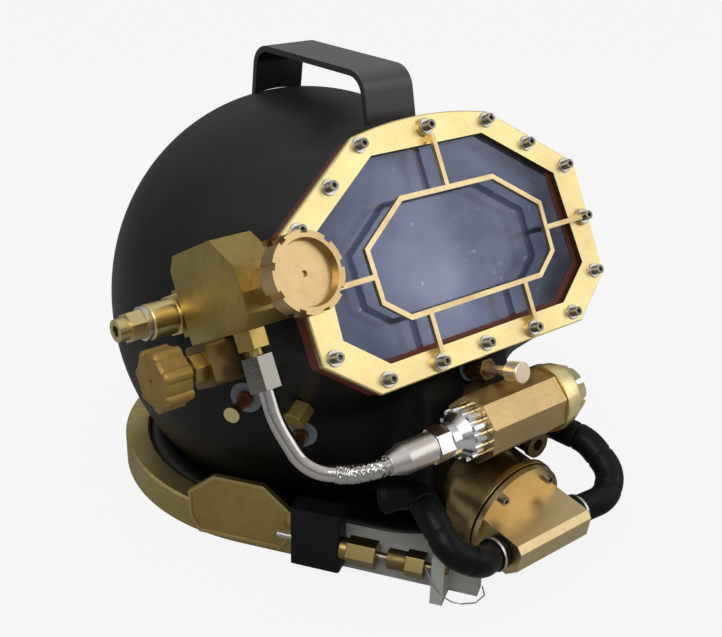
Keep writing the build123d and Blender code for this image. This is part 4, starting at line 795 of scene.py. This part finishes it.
@dataclass
class Shell:
    """The black shell: a dome and an eight-sided port tower run into each other, with a chin block."""

    dome_half: float = 141.0
    dome_radius: float = 153.0
    dome_centre: Triple = (0.0, 24.6, 119.8)
    wall: float = 5.0
    base: float = 24.4
    flange_out: float = -14.0
    tower_depth: float = 86.0
    tower_end: float = 114.0
    tower_round: float = 7.0
    tower_round_gain: float = 26.0
    end_round: float = 20.0
    depth_limit: float = 1.6
    front_corners: tuple = ((54.3, 71.8), (118.6, 27.5), (118.6, -48.9), (84.4, -74.0))
    back_corners: tuple = ((54.1, 105.0), (118.6, 31.0), (118.6, -49.0), (84.0, -100.0))
    window_corners: tuple = ((46.1, 59.9), (99.9, 24.0), (103.0, -38.6), (75.2, -59.9))
    crown: float = 5.0
    seam_width: float = 8.0
    chin_half: float = 38.0
    chin_round: float = 5.0
    chin_seam: float = 9.0
    chin_profile: tuple = (
        (-88.0, 28.0), (-148.0, 28.0), (-148.0, 112.0), (-141.9, 119.3), (-136.1, 137.3), (-88.0, 137.3))
    neck_radius: float = 66.0
    neck_heights: tuple = (23.4, 15.0, 6.3)
    floor_shares: tuple = (0.01, 0.5, 0.99, 1.0)
    hinge: tuple[float, float] = (-204.9, 24.4)
    spine_places: tuple = (0.0, 0.45, 1.0)
    spine_reach: tuple = (238.0, 222.0)
    edge_shares: tuple = (0.0, 0.0015, 0.004)
    farthest: float = 280.0
    halvings: int = 34
    columns: int = 340
    rows: int = 130

    def place_on_dome(self, around: float, rise: float) -> tuple[np.ndarray, np.ndarray]:
        """Return the dome's point and outward direction at an angle left of the nose and one up."""
        scale = point(self.dome_half, self.dome_radius, self.dome_radius)
        way = point(-sin(around) * cos(rise), -cos(around) * cos(rise), sin(rise))
        return point(*self.dome_centre) + way * scale, unit(way / scale)

    def dome(self, points: np.ndarray) -> np.ndarray:
        """Distance to the egg-shaped dome, from the length of the point in the dome's own scale."""
        scale = point(self.dome_half, self.dome_radius, self.dome_radius)
        away = (points - point(*self.dome_centre)) / scale
        length = np.linalg.norm(away, axis=-1)
        return length * (length - 1.0) / np.maximum(np.linalg.norm(away / scale, axis=-1), 1e-9)

    def tower(self, points: np.ndarray) -> np.ndarray:
        """Distance to the eight-sided tower, whose corners slide from the front outline to the back one."""
        across, up, out = FACE.local(points)
        depth = np.clip((self.flange_out - out) / self.tower_depth, 0.0, self.depth_limit)
        width = self.tower_round + self.tower_round_gain * depth
        front, back = (
            np.array([(0.0, corners[0][1] + self.crown), *corners])
            for corners in (self.front_corners, self.back_corners)
        )
        corners = front[:, None] + (back - front)[:, None] * depth[..., None].reshape(1, -1, 1)
        corners = corners.reshape(len(front), *depth.shape, 2)
        value = None
        for first, second in zip(corners[:-1], corners[1:]):
            edge = unit(second - first)
            distance = (np.abs(across) - first[..., 0]) * -edge[..., 1] + (up - first[..., 1]) * edge[..., 0]
            value = distance if value is None else soft_max(value, distance, width)
        value = soft_max(value, corners[-1][..., 1] - up, width)
        end = -out - self.tower_end
        return soft_max(value, end, np.full_like(end, self.end_round))

    def chin(self, points: np.ndarray) -> np.ndarray:
        """Distance to the chin block: its side faces and the edges of its profile, softly joined."""
        width = np.full(points.shape[:-1], self.chin_round)
        value = np.abs(points[..., 0]) - self.chin_half
        profile = np.array(self.chin_profile)
        for first, second in zip(profile, np.roll(profile, -1, axis=0)):
            edge = unit(second - first)
            distance = (points[..., 1] - first[0]) * edge[1] - (points[..., 2] - first[1]) * edge[0]
            value = soft_max(value, -distance, width)
        return value

    def form(self, points: np.ndarray) -> np.ndarray:
        """Distance to the whole shell: dome, tower and chin block run together at their seams."""
        shape = points.shape[:-1]
        body = soft_min(self.dome(points), self.tower(points), np.full(shape, self.seam_width))
        return soft_min(body, self.chin(points), np.full(shape, self.chin_seam))

    def reach(self, origin: np.ndarray, way: np.ndarray) -> np.ndarray:
        """Distance along each way at which the form ends, found by halving the farthest reach."""
        low, high = np.zeros(way.shape[:-1]), np.full(way.shape[:-1], self.farthest)
        for _ in range(self.halvings):
            middle = (low + high) / 2.0
            inside = self.form(origin + way * middle[..., None]) < 0.0
            low, high = np.where(inside, middle, low), np.where(inside, high, middle)
        return (low + high)[..., None] / 2.0

    def surface(self) -> np.ndarray:
        """Grid of the outside: pages that turn about a line in front of the foot, from port to neck.

        Each page is a half plane through that line, so each row is the form's section by one page.

        Returns:
            The grid, from the window's edge to the foot of the neck flange.
        """
        line = point(0.0, *self.hinge)
        port = FACE.place(0.0, 0.0, self.flange_out)
        start = atan2(port[2] - line[2], port[1] - line[1])
        share = np.concatenate([self.edge_shares, np.linspace(0.0, 1.0, self.rows)[1:]])
        angle = start * (1.0 - share)
        spine = np.interp(share, self.spine_places, [np.linalg.norm(port - line), *self.spine_reach])
        page = np.stack([np.zeros_like(angle), np.cos(angle), np.sin(angle)], axis=-1)
        origin = (line + page * spine[:, None])[:, None, :]
        turn = full_turn(self.columns)
        aside = np.cos(turn)[None, :, None] * point(1.0, 0.0, 0.0)
        way = aside + np.sin(turn)[None, :, None] * page[:, None, :]
        body = origin + way * self.reach(np.broadcast_to(origin, way.shape), way)
        window = self.window_edge(turn)
        rim = [window, (window + body[0]) / 2.0]
        return np.concatenate([np.array(rim), body, self.neck_rings(body[-1], turn)])

    def window_edge(self, turn: np.ndarray) -> np.ndarray:
        """Points of the window opening in the port plane, one for each turn about its middle."""
        corners = window_outline(self.window_corners)
        away = np.stack([np.cos(turn), np.sin(turn)], axis=-1)
        reach = np.full(turn.shape, np.inf)
        for first, second in zip(corners, np.roll(corners, -1, axis=0)):
            normal = point(first[1] - second[1], second[0] - first[0])
            with np.errstate(divide="ignore"):
                far = (first @ normal) / (away @ normal)
            reach = np.where(far > 0.0, np.minimum(reach, far), reach)
        flat = away * reach[:, None]
        origin = FACE.place(0.0, 0.0, self.flange_out)
        return origin + flat[:, :1] * point(1.0, 0.0, 0.0) + flat[:, 1:] * FACE.up

    def neck_rings(self, edge: np.ndarray, turn: np.ndarray) -> np.ndarray:
        """Rings across the flat floor to the neck flange, and down the flange to its foot."""
        hole = np.stack([np.cos(turn), np.sin(turn), np.zeros_like(turn)], axis=-1) * self.neck_radius
        rings = [edge + (hole + point(0.0, 0.0, self.base) - edge) * share for share in self.floor_shares]
        return np.array(rings + [hole + point(0.0, 0.0, height) for height in self.neck_heights])

    def build(self, finisher: Finisher) -> bpy.types.Object:
        """Make the shell with its wall."""
        piece = grid_piece("shell_form", self.surface(), flip=True)
        modifier(piece, "SOLIDIFY", thickness=self.wall * MM, offset=-1.0)
        return fix(piece, finisher.get("shell_laminate"), "shell")


@dataclass
class GasketLip:
    """The gasket's lip, which laps over the edge of the window under the bezel."""

    under: float = 1.0
    across: float = -4.2
    rise: float = 2.9
    front: float = -4.15

    def build(self, finisher: Finisher) -> bpy.types.Object:
        """Make the lip: a flat band from outside the window's outline to the same outline moved aside."""
        outline = window_outline(Shell.window_corners)
        outer = outline * (1.0 + self.under / np.linalg.norm(outline, axis=1, keepdims=True))
        inner = outline + point(self.across, self.rise)
        rows = np.array([[FACE.place(x, v, self.front) for x, v in ring] for ring in (outer, inner)])
        piece = grid_piece("gasket_lip", rows)
        piece.data.polygons.foreach_set("use_smooth", np.zeros(len(piece.data.polygons), dtype=bool))
        return fix(piece, finisher.get("gasket_rubber"))


@dataclass
class TubeSleeve:
    """The crinkled metal sleeve drawn over the supply tube where it enters the ferrule."""

    corners: tuple = ((-144.0, -130.6, 133.8), (-137.0, -150.0, 108.5), (-118.0, -165.5, 107.2),
                      (-106.1, -174.4, 110.4), (-97.6, -174.4, 110.4))
    radii: tuple = (26.0, 38.0, 18.0)
    radius: float = 5.3
    crinkle: float = 0.32
    rib_rate: float = 1.9
    swirl_reach: float = 3.0
    swirl: Triple = (0.31, 2.0, 0.0)
    broad: Triple = (0.8, 5.0, 0.0)
    fine: Triple = (-1.3, 9.0, 0.0)
    gaps: Triple = (0.9, 0.0, 1.0)
    fine_share: float = 0.7
    wall: float = 0.2
    step: float = 0.8
    start_share: float = 0.60
    rows: int = 110
    columns: int = 64

    def crinkles(self, place: float, turn: np.ndarray) -> np.ndarray:
        """Return the crinkles' height round one ring: swirled ribs under a broad wave, and fine ripples."""
        def wave(along: float, around: float, phase: float) -> np.ndarray:
            return np.sin(place * along + turn * around + phase)

        ribs = np.sin(place * self.rib_rate + self.swirl_reach * wave(*self.swirl))
        return ribs * wave(*self.broad) + self.fine_share * (wave(*self.fine) * wave(*self.gaps))

    def build(self, finisher: Finisher) -> bpy.types.Object:
        """Make the sleeve: rings along the tube's end, whose radius ripples."""
        sweep = Sweep(rounded_route([point(*corner) for corner in self.corners], list(self.radii), self.step))
        turn = full_turn(self.columns)
        places = np.linspace(sweep.along[-1] * self.start_share, sweep.along[-1], self.rows)
        radii = [self.radius + self.crinkle * self.crinkles(place, turn) for place in places]
        rows = [sweep.ring(place, radius, turn) for place, radius in zip(places, radii)]
        piece = grid_piece("tube_sleeve", np.array(rows))
        modifier(piece, "SOLIDIFY", thickness=self.wall * MM, offset=-1.0)
        return fix(piece, finisher.get("crinkled_chrome"))


@dataclass
class LockWire:
    """The thin wire that locks the rod's end nut: round the nut, down the lug and along its foot."""

    radius: float = 0.45
    bend: float = 3.0
    step: float = 0.7
    columns: int = 12
    places: tuple = ((133.0, 18.4, 27.0), (138.0, 18.6, 16.0), (144.0, 16.0, 7.0), (150.0, 12.0, 0.9))
    loop: tuple = ((-49.0, -193.0, 0.9), (-41.0, -198.0, 0.9), (-31.0, -196.0, 0.9), (-26.0, -189.0, 0.9))

    def build(self, finisher: Finisher) -> bpy.types.Object:
        """Make the wire: one rounded route, first in the flank's frame, swept by a small circle."""
        flank = Flank()
        route = [flank.place(*place) for place in self.places] + [point(*place) for place in self.loop]
        sweep = Sweep(rounded_route(route, [self.bend] * (len(route) - 2), self.step))
        rings = [(place, self.radius) for place in sweep.along]
        return fix(grid_piece("lock_wire", sweep.tube(rings, self.columns)), finisher.get("steel"))


@dataclass
class NeckDam:
    """The rubber dam: a rolled rim inside the band, a loose web, and the neck collar."""

    ring: Flank = field(default_factory=Flank)
    band_width: float = 18.3
    neck_radius: float = 52.0
    collar_wall: float = 3.0
    columns: int = 300
    arc_steps: tuple[int, int] = (200, 120)
    folds: tuple = ((7.0, 0.0, 0.25), (13.0, 1.0, 0.2), (3.0, 0.0, 0.3))
    loose: tuple[float, float] = (8.0, 20.0)
    wall_draw: float = 0.06
    profile: tuple = (
        (0.0, 0.0, 0.4), (0.0, 0.0, 17.0), (1.0, 0.0, 20.0), (3.0, 0.0, 21.8), (6.0, 0.0, 22.4),
        (9.0, 0.0, 22.2), (12.0, 0.0, 20.6), (14.2, 0.0, 17.4), (15.2, 0.0, 13.0), (16.8, 0.0, 9.6),
        (19.5, 0.0, 8.2), (21.0, 0.08, 7.6), (21.0, 0.2, 6.6), (21.0, 0.4, 6.0), (21.0, 0.9, 6.0),
        (21.0, 1.0, 6.6), (21.0, 1.0, 14.0), (21.0, 1.0, 23.4), (22.0, 1.02, 24.0),
        (23.0, 1.05, 23.4), (23.0, 1.06, 12.0), (23.0, 1.06, 0.6), (21.0, 1.02, 0.0),
        (21.0, 0.6, 0.0), (21.0, 0.1, 0.0), (12.0, 0.0, 0.0), (0.6, 0.0, 0.0), (0.0, 0.0, 0.4))

    def egg(self) -> tuple[np.ndarray, np.ndarray]:
        """Points and outward directions of the ring's egg-shaped plan, evenly spaced along it.

        The plan is the hull of two circles: two arcs joined by the straight lines that touch both.

        Returns:
            The plan's points and normals.
        """
        lean = np.arcsin(self.ring.sine)
        back = np.linspace(-lean, pi + lean, self.arc_steps[0])
        front = np.linspace(pi + lean, 2 * pi - lean, self.arc_steps[1])
        arcs = []
        for angle, radius, centre in (
            (back, self.ring.start_radius, self.ring.back), (front, self.ring.end_radius, -self.ring.forward),
        ):
            away = np.stack([np.cos(angle), np.sin(angle), np.zeros_like(angle)], axis=-1)
            arcs.append(np.concatenate([away * radius + point(0.0, centre, 0.0), away], axis=1))
        plan = np.concatenate([*arcs, arcs[0][:1]])
        along = np.concatenate([[0.0], np.cumsum(np.linalg.norm(np.diff(plan[:, :3], axis=0), axis=1))])
        even = np.linspace(0.0, along[-1], self.columns, endpoint=False)
        points = np.stack([np.interp(even, along, plan[:, axis]) for axis in range(6)], axis=1)
        return points[:, :3], unit(points[:, 3:])

    def build(self, finisher: Finisher) -> bpy.types.Object:
        """Make the dam: a profile of inset, draw to the collar and height, carried round the plan."""
        edge, away = self.egg()
        inner = edge - away * self.band_width
        turn = np.arctan2(inner[:, 1], inner[:, 0])
        round_way = np.stack([np.cos(turn), np.sin(turn), np.zeros_like(turn)], axis=-1)
        fold = sum(np.sin(turn * waves + phase) * height for waves, phase, height in self.folds)
        low, high = self.loose
        rows = []
        for inset, draw, height in self.profile:
            share = min(draw, 1.0)
            radius = self.neck_radius + self.collar_wall * (1.0 - (draw - share) / self.wall_draw)
            row = (inner - away * inset) * (1.0 - share) + round_way * radius * share
            row[:, 2] = height + fold * (low < inset < high and height > 1.0)
            rows.append(row)
        piece = grid_piece("dam_rubber_rolled", np.array(rows))
        return fix(piece, finisher.get("dam_rubber"), "neck_dam")


@dataclass
class WhiskerHose:
    """One moulded rubber whisker, from the exhaust cover round to its open end."""

    side: int = 1
    radius: float = 9.2
    bore: float = 7.0
    cuff: float = 10.3
    columns: int = 48
    corners: tuple = (
        (32.3, -206.43, 40.99), (40.3, -206.43, 40.99), (57.0, -214.0, 47.0), (73.0, -205.0, 56.0),
        (71.0, -184.0, 71.0), (64.5, -165.0, 74.0), (76.0, -147.0, 66.0))
    radii: tuple = (17.0, 15.5, 17.0, 30.0, 16.0)
    step: float = 1.2
    root: tuple = ((0.0, -0.5), (0.6, 0.0), (3.0, 0.0), (7.6, 0.0), (8.6, -0.2))
    root_end: float = 9.4
    body_span: Triple = (10.5, 7.0, 0.7)
    seams: tuple = (0.30, 0.52, 0.70)
    seam_depth: float = 0.8
    seam_half: float = 1.1
    lip_start: float = 5.4
    lip: tuple = ((4.6, 0.0), (0.8, 0.0), (0.0, -0.7))
    mouth: tuple = ((0.0, 0.4), (0.6, 0.0))
    bore_start: float = 4.0
    bore_rings: int = 20

    def build(self, finisher: Finisher) -> bpy.types.Object:
        """Make the hose: rings along its route, with a cuff, seams and an open end."""
        route = [point(self.side * x, y, z) for x, y, z in self.corners]
        sweep = Sweep(rounded_route(route, list(self.radii), self.step))
        length = sweep.along[-1]
        start, short, step = self.body_span
        rings = [(0.0, self.bore)]
        rings += [(place, self.cuff + wider) for place, wider in self.root]
        rings.append((self.root_end, self.radius))
        for place in np.arange(start, length - short, step):
            near = min(abs(place - seam * length) for seam in self.seams)
            rings.append((place, self.radius - self.seam_depth * max(0.0, 1.0 - near / self.seam_half)))
        rings.append((length - self.lip_start, self.radius))
        rings += [(length - back, self.cuff + wider) for back, wider in self.lip]
        rings += [(length - back, self.bore + wider) for back, wider in self.mouth]
        rings += [(place, self.bore) for place in np.linspace(length - self.bore_start, 0.0, self.bore_rings)]
        name = "whisker_left" if self.side > 0 else "whisker_right"
        piece = grid_piece(f"{name}_hose", sweep.tube(rings, self.columns))
        return fix(piece, finisher.get("hose_rubber"), name)


@dataclass
class HeadCushion:
    """The padded liner at the back and sides of the head, with sewn channels."""

    span: tuple[float, float] = (radians(14.0), radians(166.0))
    low: float = 95.0
    high: float = 232.0
    front: float = 34.0
    middle: tuple[float, float] = (24.6, 119.8)
    half_width: float = 133.0
    half_length: float = 145.0
    half_height: float = 147.0
    inset: float = 18.0
    wall: float = 15.0
    squareness: float = 0.7
    end_taper: float = 5.0
    least: float = 0.02
    channel_pitch: float = radians(25.3)
    channel_phase: float = 0.05
    channel_depth: float = 0.16
    channel_width: float = 0.004
    cloth: tuple[float, float] = (0.36, 0.3)
    columns: int = 180
    rows: int = 60

    def squared(self, wave: np.ndarray) -> np.ndarray:
        """Return a wave with its crests flattened, by a power of its size."""
        return np.sign(wave) * np.abs(wave) ** self.squareness

    def build(self, finisher: Finisher) -> bpy.types.Object:
        """Make the liner: a thick band round the back, puffed between its sewn channels."""
        turn = np.linspace(*self.span, self.columns)
        loop = full_turn(self.rows)
        spot = np.mod(turn / self.channel_pitch + self.channel_phase, 1.0) - 0.5
        channel = 1.0 - self.channel_depth * np.exp(-(spot ** 2) / self.channel_width)
        swell = np.sin((turn - turn[0]) / (turn[-1] - turn[0]) * pi)
        taper = np.minimum(1.0, swell * self.end_taper + self.least) ** 0.5
        half = (self.high - self.low) / 2.0
        height = (self.low + self.high) / 2.0 + self.squared(np.sin(loop))[:, None] * (half * taper)[None, :]
        rise = (height - self.middle[1]) / self.half_height
        shrink = np.sqrt(np.clip(1.0 - rise ** 2, self.least, 1.0))
        puff = self.squared(np.cos(loop))[:, None] * self.wall * (taper * channel)[None, :] - self.inset
        x = np.cos(turn)[None, :] * (self.half_width * shrink + puff)
        y = self.middle[0] + np.sin(turn)[None, :] * (self.half_length * shrink + puff)
        rows = np.stack([x, np.maximum(y, self.front), height], axis=-1).transpose(1, 0, 2)
        first, last = (
            np.repeat(end.mean(axis=1, keepdims=True), self.rows, axis=1) for end in (rows[:1], rows[-1:])
        )
        rows = np.concatenate([first, rows, last])
        u, v = (np.linspace(0.0, reach, count) for reach, count in zip(self.cloth, rows.shape))
        maps = np.stack(np.meshgrid(u, v, indexing="ij"), axis=-1)
        piece = grid_piece("head_cushion_pad", rows, maps=maps, flip=True)
        fix(piece, finisher.get("liner_cloth"), "head_cushion")
        return piece


@dataclass
class OralNasalMask:
    """The soft cup over mouth and nose, with a rolled lip."""

    height: float = 110.4
    half_width: float = 30.0
    half_height: float = 26.0
    front: float = 118.0
    depth: float = 38.0
    pinch: float = 0.10
    columns: int = 96
    profile: tuple = (
        (118.0, 0.14, 0.14), (117.8, 0.62, 0.62), (116.0, 0.90, 0.90), (112.0, 1.0, 1.0), (100.0, 1.20, 1.16),
        (88.0, 1.38, 1.30), (82.0, 1.45, 1.37), (80.3, 1.46, 1.38), (80.0, 1.42, 1.34), (80.6, 1.37, 1.29),
        (84.0, 1.33, 1.25), (98.0, 1.14, 1.08), (110.0, 0.93, 0.92), (114.6, 0.80, 0.80), (115.5, 0.14, 0.14),
        (118.0, 0.14, 0.14))

    def build(self, finisher: Finisher) -> bpy.types.Object:
        """Make the cup: egg-shaped rings along the depth, in and back out over the lip."""
        turn = full_turn(self.columns)
        rows = []
        for forward, wide, tall in self.profile:
            narrowing = 1.0 - self.pinch * np.sin(turn) * (self.front - forward) / self.depth
            x = np.cos(turn) * self.half_width * wide * narrowing
            z = self.height + np.sin(turn) * self.half_height * tall
            rows.append(np.stack([x, np.full_like(x, -forward), z], axis=-1))
        piece = grid_piece("oral_nasal_cup", np.array(rows), flip=True)
        return fix(piece, finisher.get("mask_rubber"), "oral_nasal_mask")


@dataclass
class CadDresser:
    """Gives the rigid CAD nodes their finishes, small edge rounds and smooth curved faces."""

    frame: dict
    finisher: Finisher
    merge: float = 0.00002
    edge_round: float = 0.00035
    round_angle: float = radians(32.0)
    split_angle: float = radians(35.0)
    wall_span: tuple[float, float] = (-3.7, -0.3)
    wall_margin: float = 0.5
    post_place: tuple[float, float] = (radians(55.8), radians(-3.0))
    post_head: float = 19.0
    badge_rim: float = 4.2
    rod_thread: float = 66.0
    cap_pin: Triple = (41.5, -183.3, 91.3)
    cap_pin_reach: float = 3.4

    def dress(self, node: str, finish: str) -> None:
        """Give one node its finish, merged corners and a fine edge round."""
        piece = self.frame["nodes"][node]
        piece.data.materials.clear()
        piece.data.materials.append(self.finisher.get(finish))
        flat = node in FLAT_NODES
        piece.data.polygons.foreach_set("use_smooth", np.full(len(piece.data.polygons), not flat))
        if flat:
            return
        modifier(piece, "WELD", merge_threshold=self.merge)
        modifier(
            piece, "BEVEL", width=self.edge_round, segments=2, limit_method="ANGLE",
            angle_limit=self.round_angle, use_clamp_overlap=True,
        )
        modifier(piece, "EDGE_SPLIT", split_angle=self.split_angle)
        modifier(piece, "WEIGHTED_NORMAL", mode="FACE_AREA", weight=100)

    def in_window_wall(self, centres: np.ndarray) -> np.ndarray:
        """Pick the faces of the bezel's inner wall, below its front and not outside the window, for painted
        shade in dark brass.
        """
        across, up, out = FACE.local(centres)
        corners = window_outline(Shell.window_corners)
        edge = unit(np.roll(corners, -1, axis=0) - corners)
        beyond = (corners[:, 0] - across[:, None]) * edge[:, 1] - (corners[:, 1] - up[:, None]) * edge[:, 0]
        low, high = self.wall_span
        return (out > low) & (out < high) & (beyond.max(axis=1) < self.wall_margin)

    def second_finish(self, node: str, finish: str, chosen: Callable[[np.ndarray], np.ndarray]) -> None:
        """Give some faces of a node another finish.

        Args:
            node: the node's name.
            finish: the other finish.
            chosen: test of the face centres, in millimetres, that picks the faces.
        """
        mesh = self.frame["nodes"][node].data
        mesh.materials.append(self.finisher.get(finish))
        centres = np.empty(len(mesh.polygons) * 3)
        mesh.polygons.foreach_get("center", centres)
        mesh.polygons.foreach_set("material_index", chosen(centres.reshape(-1, 3) / MM).astype(np.int32))

    def shorten(self, node: str) -> None:
        """Give a coil spring its own copy of its mesh, after reading its vertices; the spring is not closed
        up.

        Args:
            node: the spring's node, whose axis is the x axis.
        """
        piece = self.frame["nodes"][node]
        places = np.empty(len(piece.data.vertices) * 3)
        piece.data.vertices.foreach_get("co", places)
        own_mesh(piece)

    def dress_all(self) -> None:
        """Dress every node that shows, then the nodes with a second finish, then the springs."""
        for finish, nodes in FINISH_NODES.items():
            for node in nodes:
                self.dress(node, finish)
            LOG.info("%s on %s", finish, ", ".join(nodes))
        flank = Flank()
        post, outward = Shell().place_on_dome(*self.post_place)
        pin = point(*self.cap_pin)
        for node, finish, chosen in (
            ("comms_post_1", "inlet_brass", lambda c: (c - post) @ outward > self.post_head),
            ("badge_plate", "rim_brass", lambda c: flank.out(c) > self.badge_rim),
            # the bezel's inner wall in dark brass: painted shade in the window's recess
            ("bezel", "old_brass_and_painted_shade", self.in_window_wall),
            ("draw_rod", "old_brass_and_painted_shade", lambda c: c @ flank.along > self.rod_thread),
            ("adjusting_cap", "steel", lambda c: np.linalg.norm(c - pin, axis=1) < self.cap_pin_reach),
        ):
            self.second_finish(node, finish, chosen)
        for node, (joint, travel) in SPRING_TRAVEL.items():
            self.shorten(node)


@dataclass(frozen=True)
class Lamp:
    """A soft square lamp that looks at a point."""

    name: str
    place: Triple
    aim: Triple
    size: float
    power: float

    def build(self) -> None:
        """Hang the lamp."""
        data = bpy.data.lights.new(self.name, "AREA")
        data.size, data.energy = self.size, self.power
        lamp = bpy.data.objects.new(self.name, data)
        lamp.location = self.place
        lamp.rotation_euler = (Vector(self.aim) - Vector(self.place)).to_track_quat("-Z", "Y").to_euler()
        bpy.context.scene.collection.objects.link(lamp)


@dataclass
class Studio:
    """Pale floor, soft lamps and the camera at the photograph's angle."""

    position: Triple = (-465.15, -577.91, 446.77)
    yaw: float = radians(40.457)
    pitch: float = radians(24.264)
    roll: float = radians(1.651)
    lens: float = 55.99
    sensor: float = 36.0
    clip: tuple[float, float] = (0.01, 50.0)
    sky_low: float = 0.15
    sky_gain: float = 0.65
    sky_span: tuple[float, float] = (0.0, 0.9)
    paper: Colour = (0.42, 0.42, 0.415)
    paper_rough: float = 0.9
    paper_glow: float = 0.88
    floor_reach: float = 6.0
    floor_level: float = -0.0004
    lamps: tuple[Lamp, ...] = (
        Lamp("key_lamp", (-1.0, -0.65, 1.25), (0.0, 0.0, 0.12), 0.9, 9.5),
        Lamp("front_lamp", (1.0, -1.3, 0.85), (0.0, -0.05, 0.15), 1.3, 6.0),
    )

    def camera(self) -> None:
        """Place the camera by its yaw, pitch and roll."""
        s, c = sin(self.yaw), cos(self.yaw)
        ahead = point(s * cos(self.pitch), c * cos(self.pitch), -sin(self.pitch))
        right = point(c, -s, 0.0)
        up = np.cross(right, ahead)
        turned_right = cos(self.roll) * right + sin(self.roll) * up
        turned_up = -sin(self.roll) * right + cos(self.roll) * up
        data = bpy.data.cameras.new("photo_camera")
        data.lens, data.sensor_width = self.lens, self.sensor
        data.clip_start, data.clip_end = self.clip
        camera = bpy.data.objects.new("photo_camera", data)
        columns = [turned_right, turned_up, -ahead, point(*self.position) * MM]
        camera.matrix_world = Matrix([*np.stack(columns, axis=1).tolist(), [0.0, 0.0, 0.0, 1.0]])
        bpy.context.scene.collection.objects.link(camera)
        bpy.context.scene.camera = camera

    def floor(self) -> None:
        """Lay a wide pale floor at the level that the ring stands on."""
        mesh = bpy.data.meshes.new("floor")
        corners = [(x * self.floor_reach, y * self.floor_reach, self.floor_level)
                   for x, y in ((-1, -1), (1, -1), (1, 1), (-1, 1))]
        mesh.from_pydata(corners, [], [(0, 1, 2, 3)])
        floor = bpy.data.objects.new("floor", mesh)
        bpy.context.scene.collection.objects.link(floor)
        bench = Bench("floor_paper")
        rays = bench.node("ShaderNodeLightPath")
        inputs = {"Base Color": self.paper, "Roughness": self.paper_rough}
        paper = bench.node("ShaderNodeBsdfPrincipled", {}, inputs)
        glow = bench.node("ShaderNodeEmission", {}, {"Strength": 1.0})
        bench.blend(Tie(bench, rays.outputs["Is Camera Ray"]) * self.paper_glow, paper, glow)
        floor.data.materials.append(bench.material)

    def world(self) -> None:
        """Light from all round, brighter from above; rays from the camera or through the window see white."""
        world = bpy.data.worlds.new("studio")
        bpy.context.scene.world = world
        bench = Bench("studio", world)
        height = bench.part(bench.node("ShaderNodeTexCoord").outputs["Generated"], 2)
        light = height.ramp(*self.sky_span) * self.sky_gain + self.sky_low
        rays = bench.node("ShaderNodeLightPath").outputs
        seen = (Tie(bench, rays["Is Camera Ray"]) + Tie(bench, rays["Is Transmission Ray"])).clamped()
        strength = light * (1.0 - seen) + seen
        background = bench.node("ShaderNodeBackground", {}, {"Color": (1.0, 1.0, 1.0), "Strength": strength})
        bench.feed(bench.output.inputs[0], background.outputs[0])

    def build(self) -> None:
        """Set up the view transform, camera, floor, world and lamps."""
        bpy.context.scene.view_settings.view_transform = "Standard"
        self.camera()
        self.floor()
        self.world()
        for lamp in self.lamps:
            lamp.build()


def main() -> None:
    """Build the helmet's looks in order."""
    logging.basicConfig(level=logging.INFO, format="%(name)s: %(message)s")
    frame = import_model()
    finisher = Finisher()
    CadDresser(frame, finisher).dress_all()
    assemblies = (
        Shell(), GasketLip(), TubeSleeve(), LockWire(), NeckDam(), WhiskerHose(1), WhiskerHose(-1),
        HeadCushion(), OralNasalMask(),
    )
    for assembly in assemblies:
        piece = assembly.build(finisher)
        LOG.info("piece %s: %d faces", piece.name, len(piece.data.polygons))
    Studio().build()
    bpy.context.view_layer.update()


if __name__ == "__main__":
    main()
